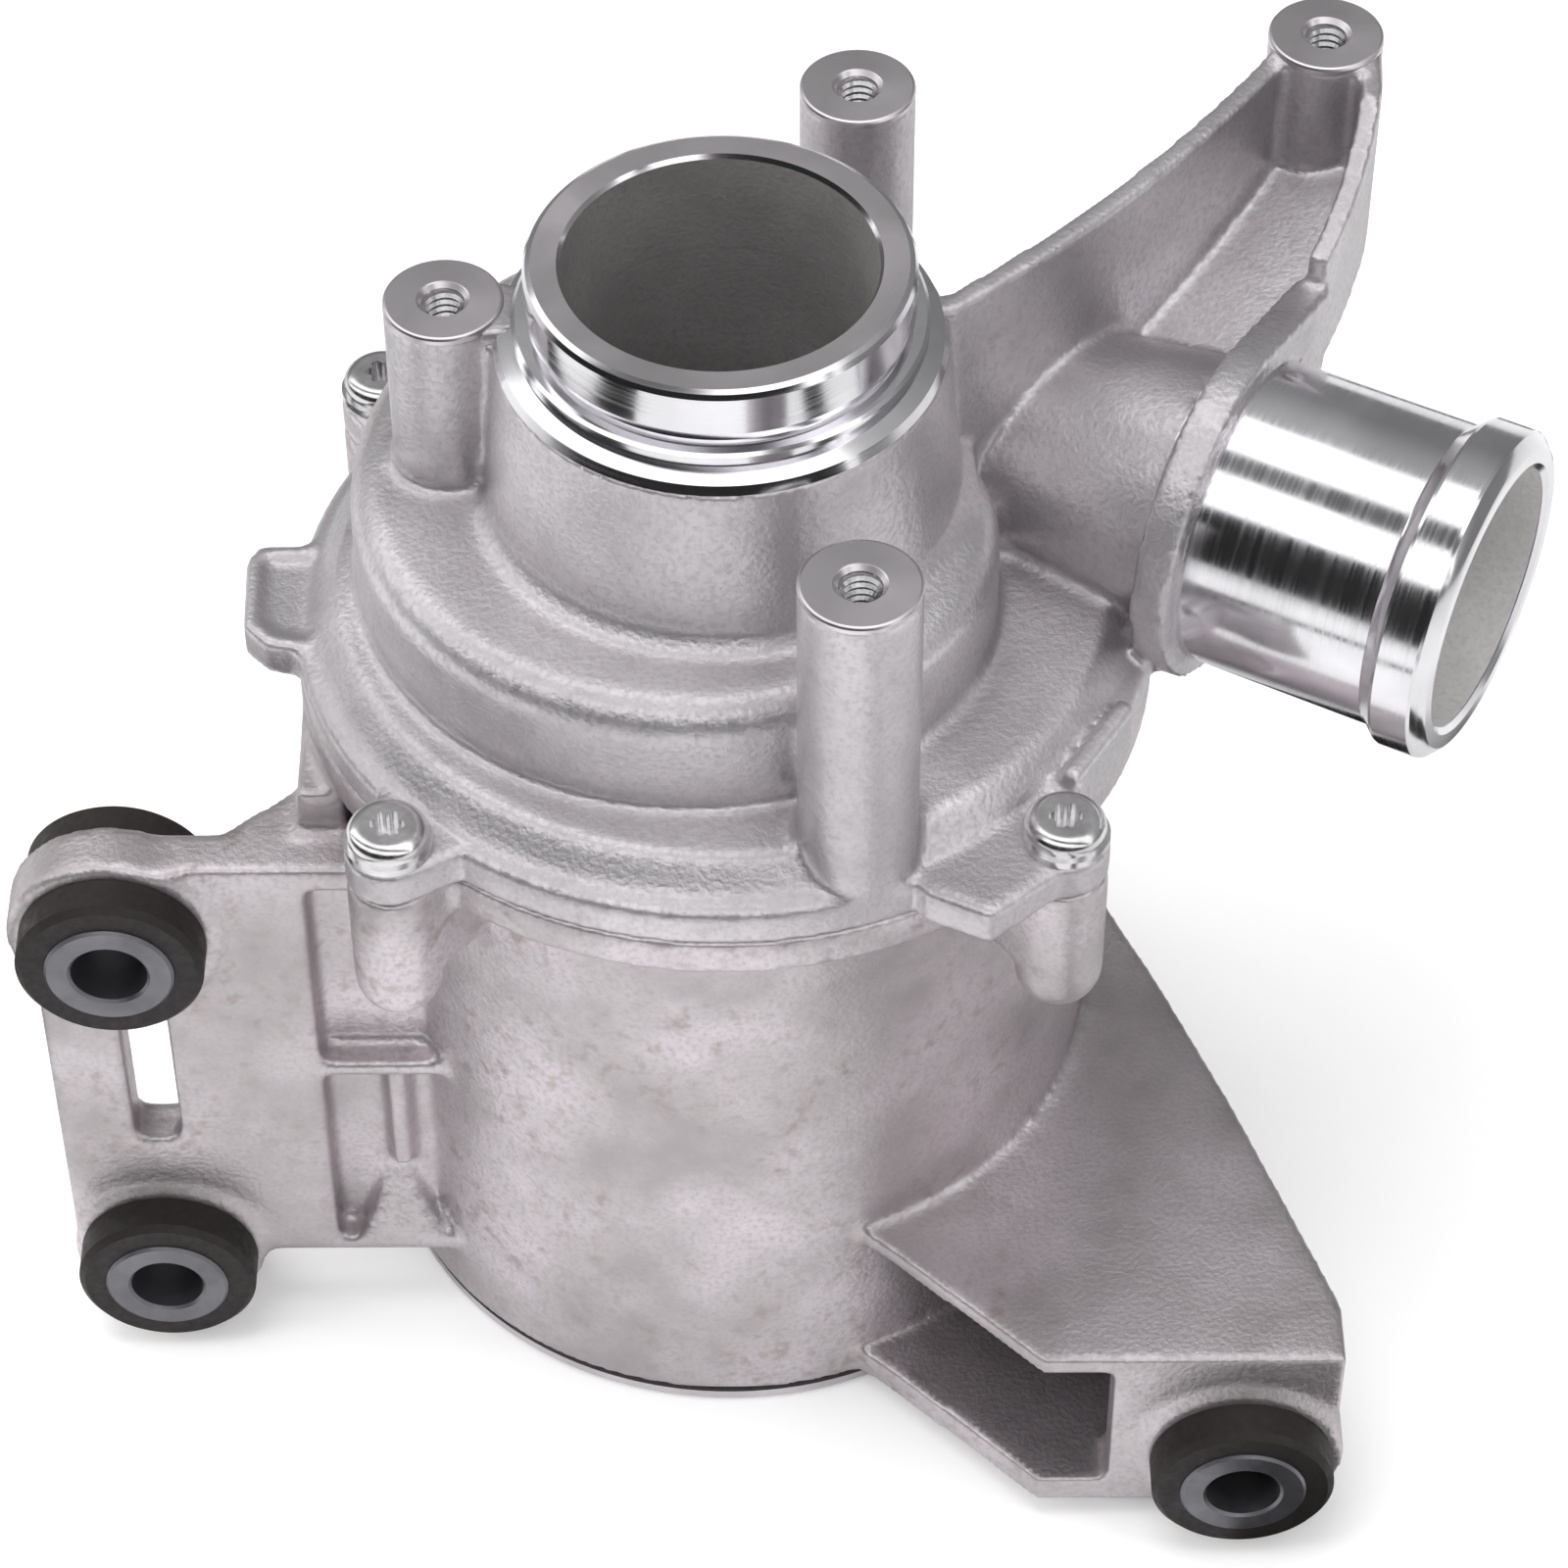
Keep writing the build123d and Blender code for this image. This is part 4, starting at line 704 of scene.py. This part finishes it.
floor_paint, floor_shader, floor_place = new_finish("studio_floor")
floor_tree = floor_paint.node_tree
floor_shader.inputs["Roughness"].default_value = 0.9
floor_shader.inputs["Specular IOR Level"].default_value = 0.0
floor_shader.inputs["Emission Color"].default_value = (1, 1, 1, 1)
floor_path = floor_tree.nodes.new("ShaderNodeLightPath")
lift = remap(floor_paint, floor_path.outputs["Is Camera Ray"], 0.0, 1.0, 0.0, camera_lift)
floor_tree.links.new(lift, floor_shader.inputs["Emission Strength"])
floor_mesh.materials.append(floor_paint)
print("floor is", 2 * floor_size, "m wide")

# %% [markdown]
# The bright land of the neck stands upright and looks down on the table, so its dark stripes can only come
# from there. Three dark strips lie on the floor. Light Path's Is Glossy Ray shows them to shiny metal alone,
# and neither the camera nor the shadow knows of them.

# %% Lay the dark strips
floor_parts = floor_tree.nodes.new("ShaderNodeSeparateXYZ")
floor_tree.links.new(floor_place, floor_parts.inputs["Vector"])


def floor_strip(centre, half):
    """1 on a strip of the floor that runs front to back, for glossy rays only."""
    inside = floor_tree.nodes.new("ShaderNodeMath")
    inside.operation = "COMPARE"
    floor_tree.links.new(floor_parts.outputs["X"], inside.inputs[0])
    inside.inputs[1].default_value = centre
    inside.inputs[2].default_value = half
    return multiply(floor_paint, inside.outputs["Value"], floor_path.outputs["Is Glossy Ray"])


floor_colour = (0.9, 0.9, 0.9)
strip_colour = (0.02, 0.02, 0.02)
floor_strips = ((0.074, 0.011), (-0.155, 0.02), (0.145, 0.012))
for centre, half in floor_strips:
    floor_colour = blend_colours(
        floor_paint, floor_strip(centre, half), floor_colour, strip_colour
    )
floor_tree.links.new(floor_colour, floor_shader.inputs["Base Color"])
print("dark strips:", len(floor_strips))

# %% [markdown]
# Bare metal has hardly a colour of its own: it shows the room. So the room needs bright and dark parts, and
# we paint them on the world by direction. These helpers do arithmetic in the world's graph. `band` is the one
# that matters: it lights a stretch of angles and fades at both ends.

# %% Helpers for the room
world = bpy.data.worlds.new("studio")
bpy.context.scene.world = world
world.use_nodes = True
room_tree = world.node_tree
room = room_tree.nodes["Background"]


def room_node(kind, **settings):
    """A new node in the world's graph."""
    node = room_tree.nodes.new(kind)
    for key, value in settings.items():
        setattr(node, key, value)
    return node


def room_math(operation, first, second):
    """One step of arithmetic on values or sockets."""
    node = room_node("ShaderNodeMath", operation=operation)
    for socket, value in zip(node.inputs, (first, second)):
        if isinstance(value, (int, float)):
            socket.default_value = value
        else:
            room_tree.links.new(value, socket)
    return node.outputs["Value"]


def smooth_step(value, low, high, start, end):
    """Values from low to high become values from start to end, with soft ends."""
    node = room_node("ShaderNodeMapRange", interpolation_type="SMOOTHSTEP")
    room_tree.links.new(value, node.inputs["Value"])
    limits = (("From Min", low), ("From Max", high), ("To Min", start), ("To Max", end))
    for key, number in limits:
        node.inputs[key].default_value = number
    return node.outputs["Result"]


def band(value, centre, half, soft):
    """1 inside a band of values and 0 outside, with soft edges."""
    away = room_math("ABSOLUTE", room_math("SUBTRACT", value, centre), 0)
    return smooth_step(away, half - soft, half + soft, 1.0, 0.0)


print("room helpers are ready")

# %% [markdown]
# The spigot is a mirror that lies on its side. Each line along it shows one angle of the room, measured about
# its own axis: 0 degrees at the rear horizon, 90 overhead, 180 at the front horizon. Read from the top edge
# down, the photograph has grey, white, a thin dark line, white, and a thick black band. So the room gets a
# grey rear wall, a light tent overhead, a slit, a second tent in front, and a black curtain below it.

# %% Paint the room
direction = room_node("ShaderNodeTexCoord").outputs["Generated"]
parts = room_node("ShaderNodeSeparateXYZ")
room_tree.links.new(direction, parts.inputs["Vector"])
east, north, up = (parts.outputs[axis] for axis in ("X", "Y", "Z"))
east_share = room_math("MULTIPLY", east, outlet_side.x)
north_share = room_math("MULTIPLY", north, outlet_side.y)
across = room_math("ADD", east_share, north_share)
around_spigot = room_math("MULTIPLY", room_math("ARCTAN2", up, across), 180 / math.pi)

tent_light = 1.7
slit_darkness = 0.7
curtain_darkness = 0.95
page_white = 1.3
rear_wall = smooth_step(around_spigot, 25, 62, 0.22, 0.42)
overhead_tent = band(around_spigot, 82, 15, 2)
front_tent = band(around_spigot, 127, 13.5, 1.5)
slit = band(around_spigot, 105, 9, 1.5)
curtain = band(around_spigot, 166, 26, 2)
tents = room_math("MULTIPLY", room_math("MAXIMUM", overhead_tent, front_tent), tent_light)
dark = room_math("MAXIMUM", room_math("MULTIPLY", slit, slit_darkness), curtain)
left_over = room_math("SUBTRACT", 1.0, room_math("MULTIPLY", dark, curtain_darkness))
light = room_math("MAXIMUM", room_math("MULTIPLY", rear_wall, left_over), tents)
camera_ray = room_node("ShaderNodeLightPath").outputs["Is Camera Ray"]
strength = room_math("MAXIMUM", light, room_math("MULTIPLY", camera_ray, page_white))
room_tree.links.new(strength, room.inputs["Strength"])
room.inputs["Color"].default_value = (1, 1, 1, 1)
print("room painted")

# %% [markdown]
# Two soft boxes help the room: one above, for the shadow under the pump, and a weak one from the left. Metal
# would mirror them as hard white squares among the bands, so glossy rays don't see them.

# %% Hang the lamps
lamp_aim = Vector((0, 0, 0.08))


def soft_lamp(name, place, width, depth, power):
    """One soft box, aimed at the middle of the pump."""
    soft_box = bpy.data.lights.new(name, "AREA")
    soft_box.shape = "RECTANGLE"
    soft_box.size = width
    soft_box.size_y = depth
    soft_box.energy = power
    lamp = bpy.data.objects.new(name, soft_box)
    lamp.location = place
    lamp.rotation_euler = (Vector(place) - lamp_aim).to_track_quat("Z", "Y").to_euler()
    lamp.visible_glossy = False
    bpy.context.scene.collection.objects.link(lamp)


soft_lamp("top_box", (-0.2, -0.05, 1.1), 0.6, 0.5, 4.5)
soft_lamp("left_box", (-1.0, -0.35, 0.45), 0.3, 0.6, 2.5)
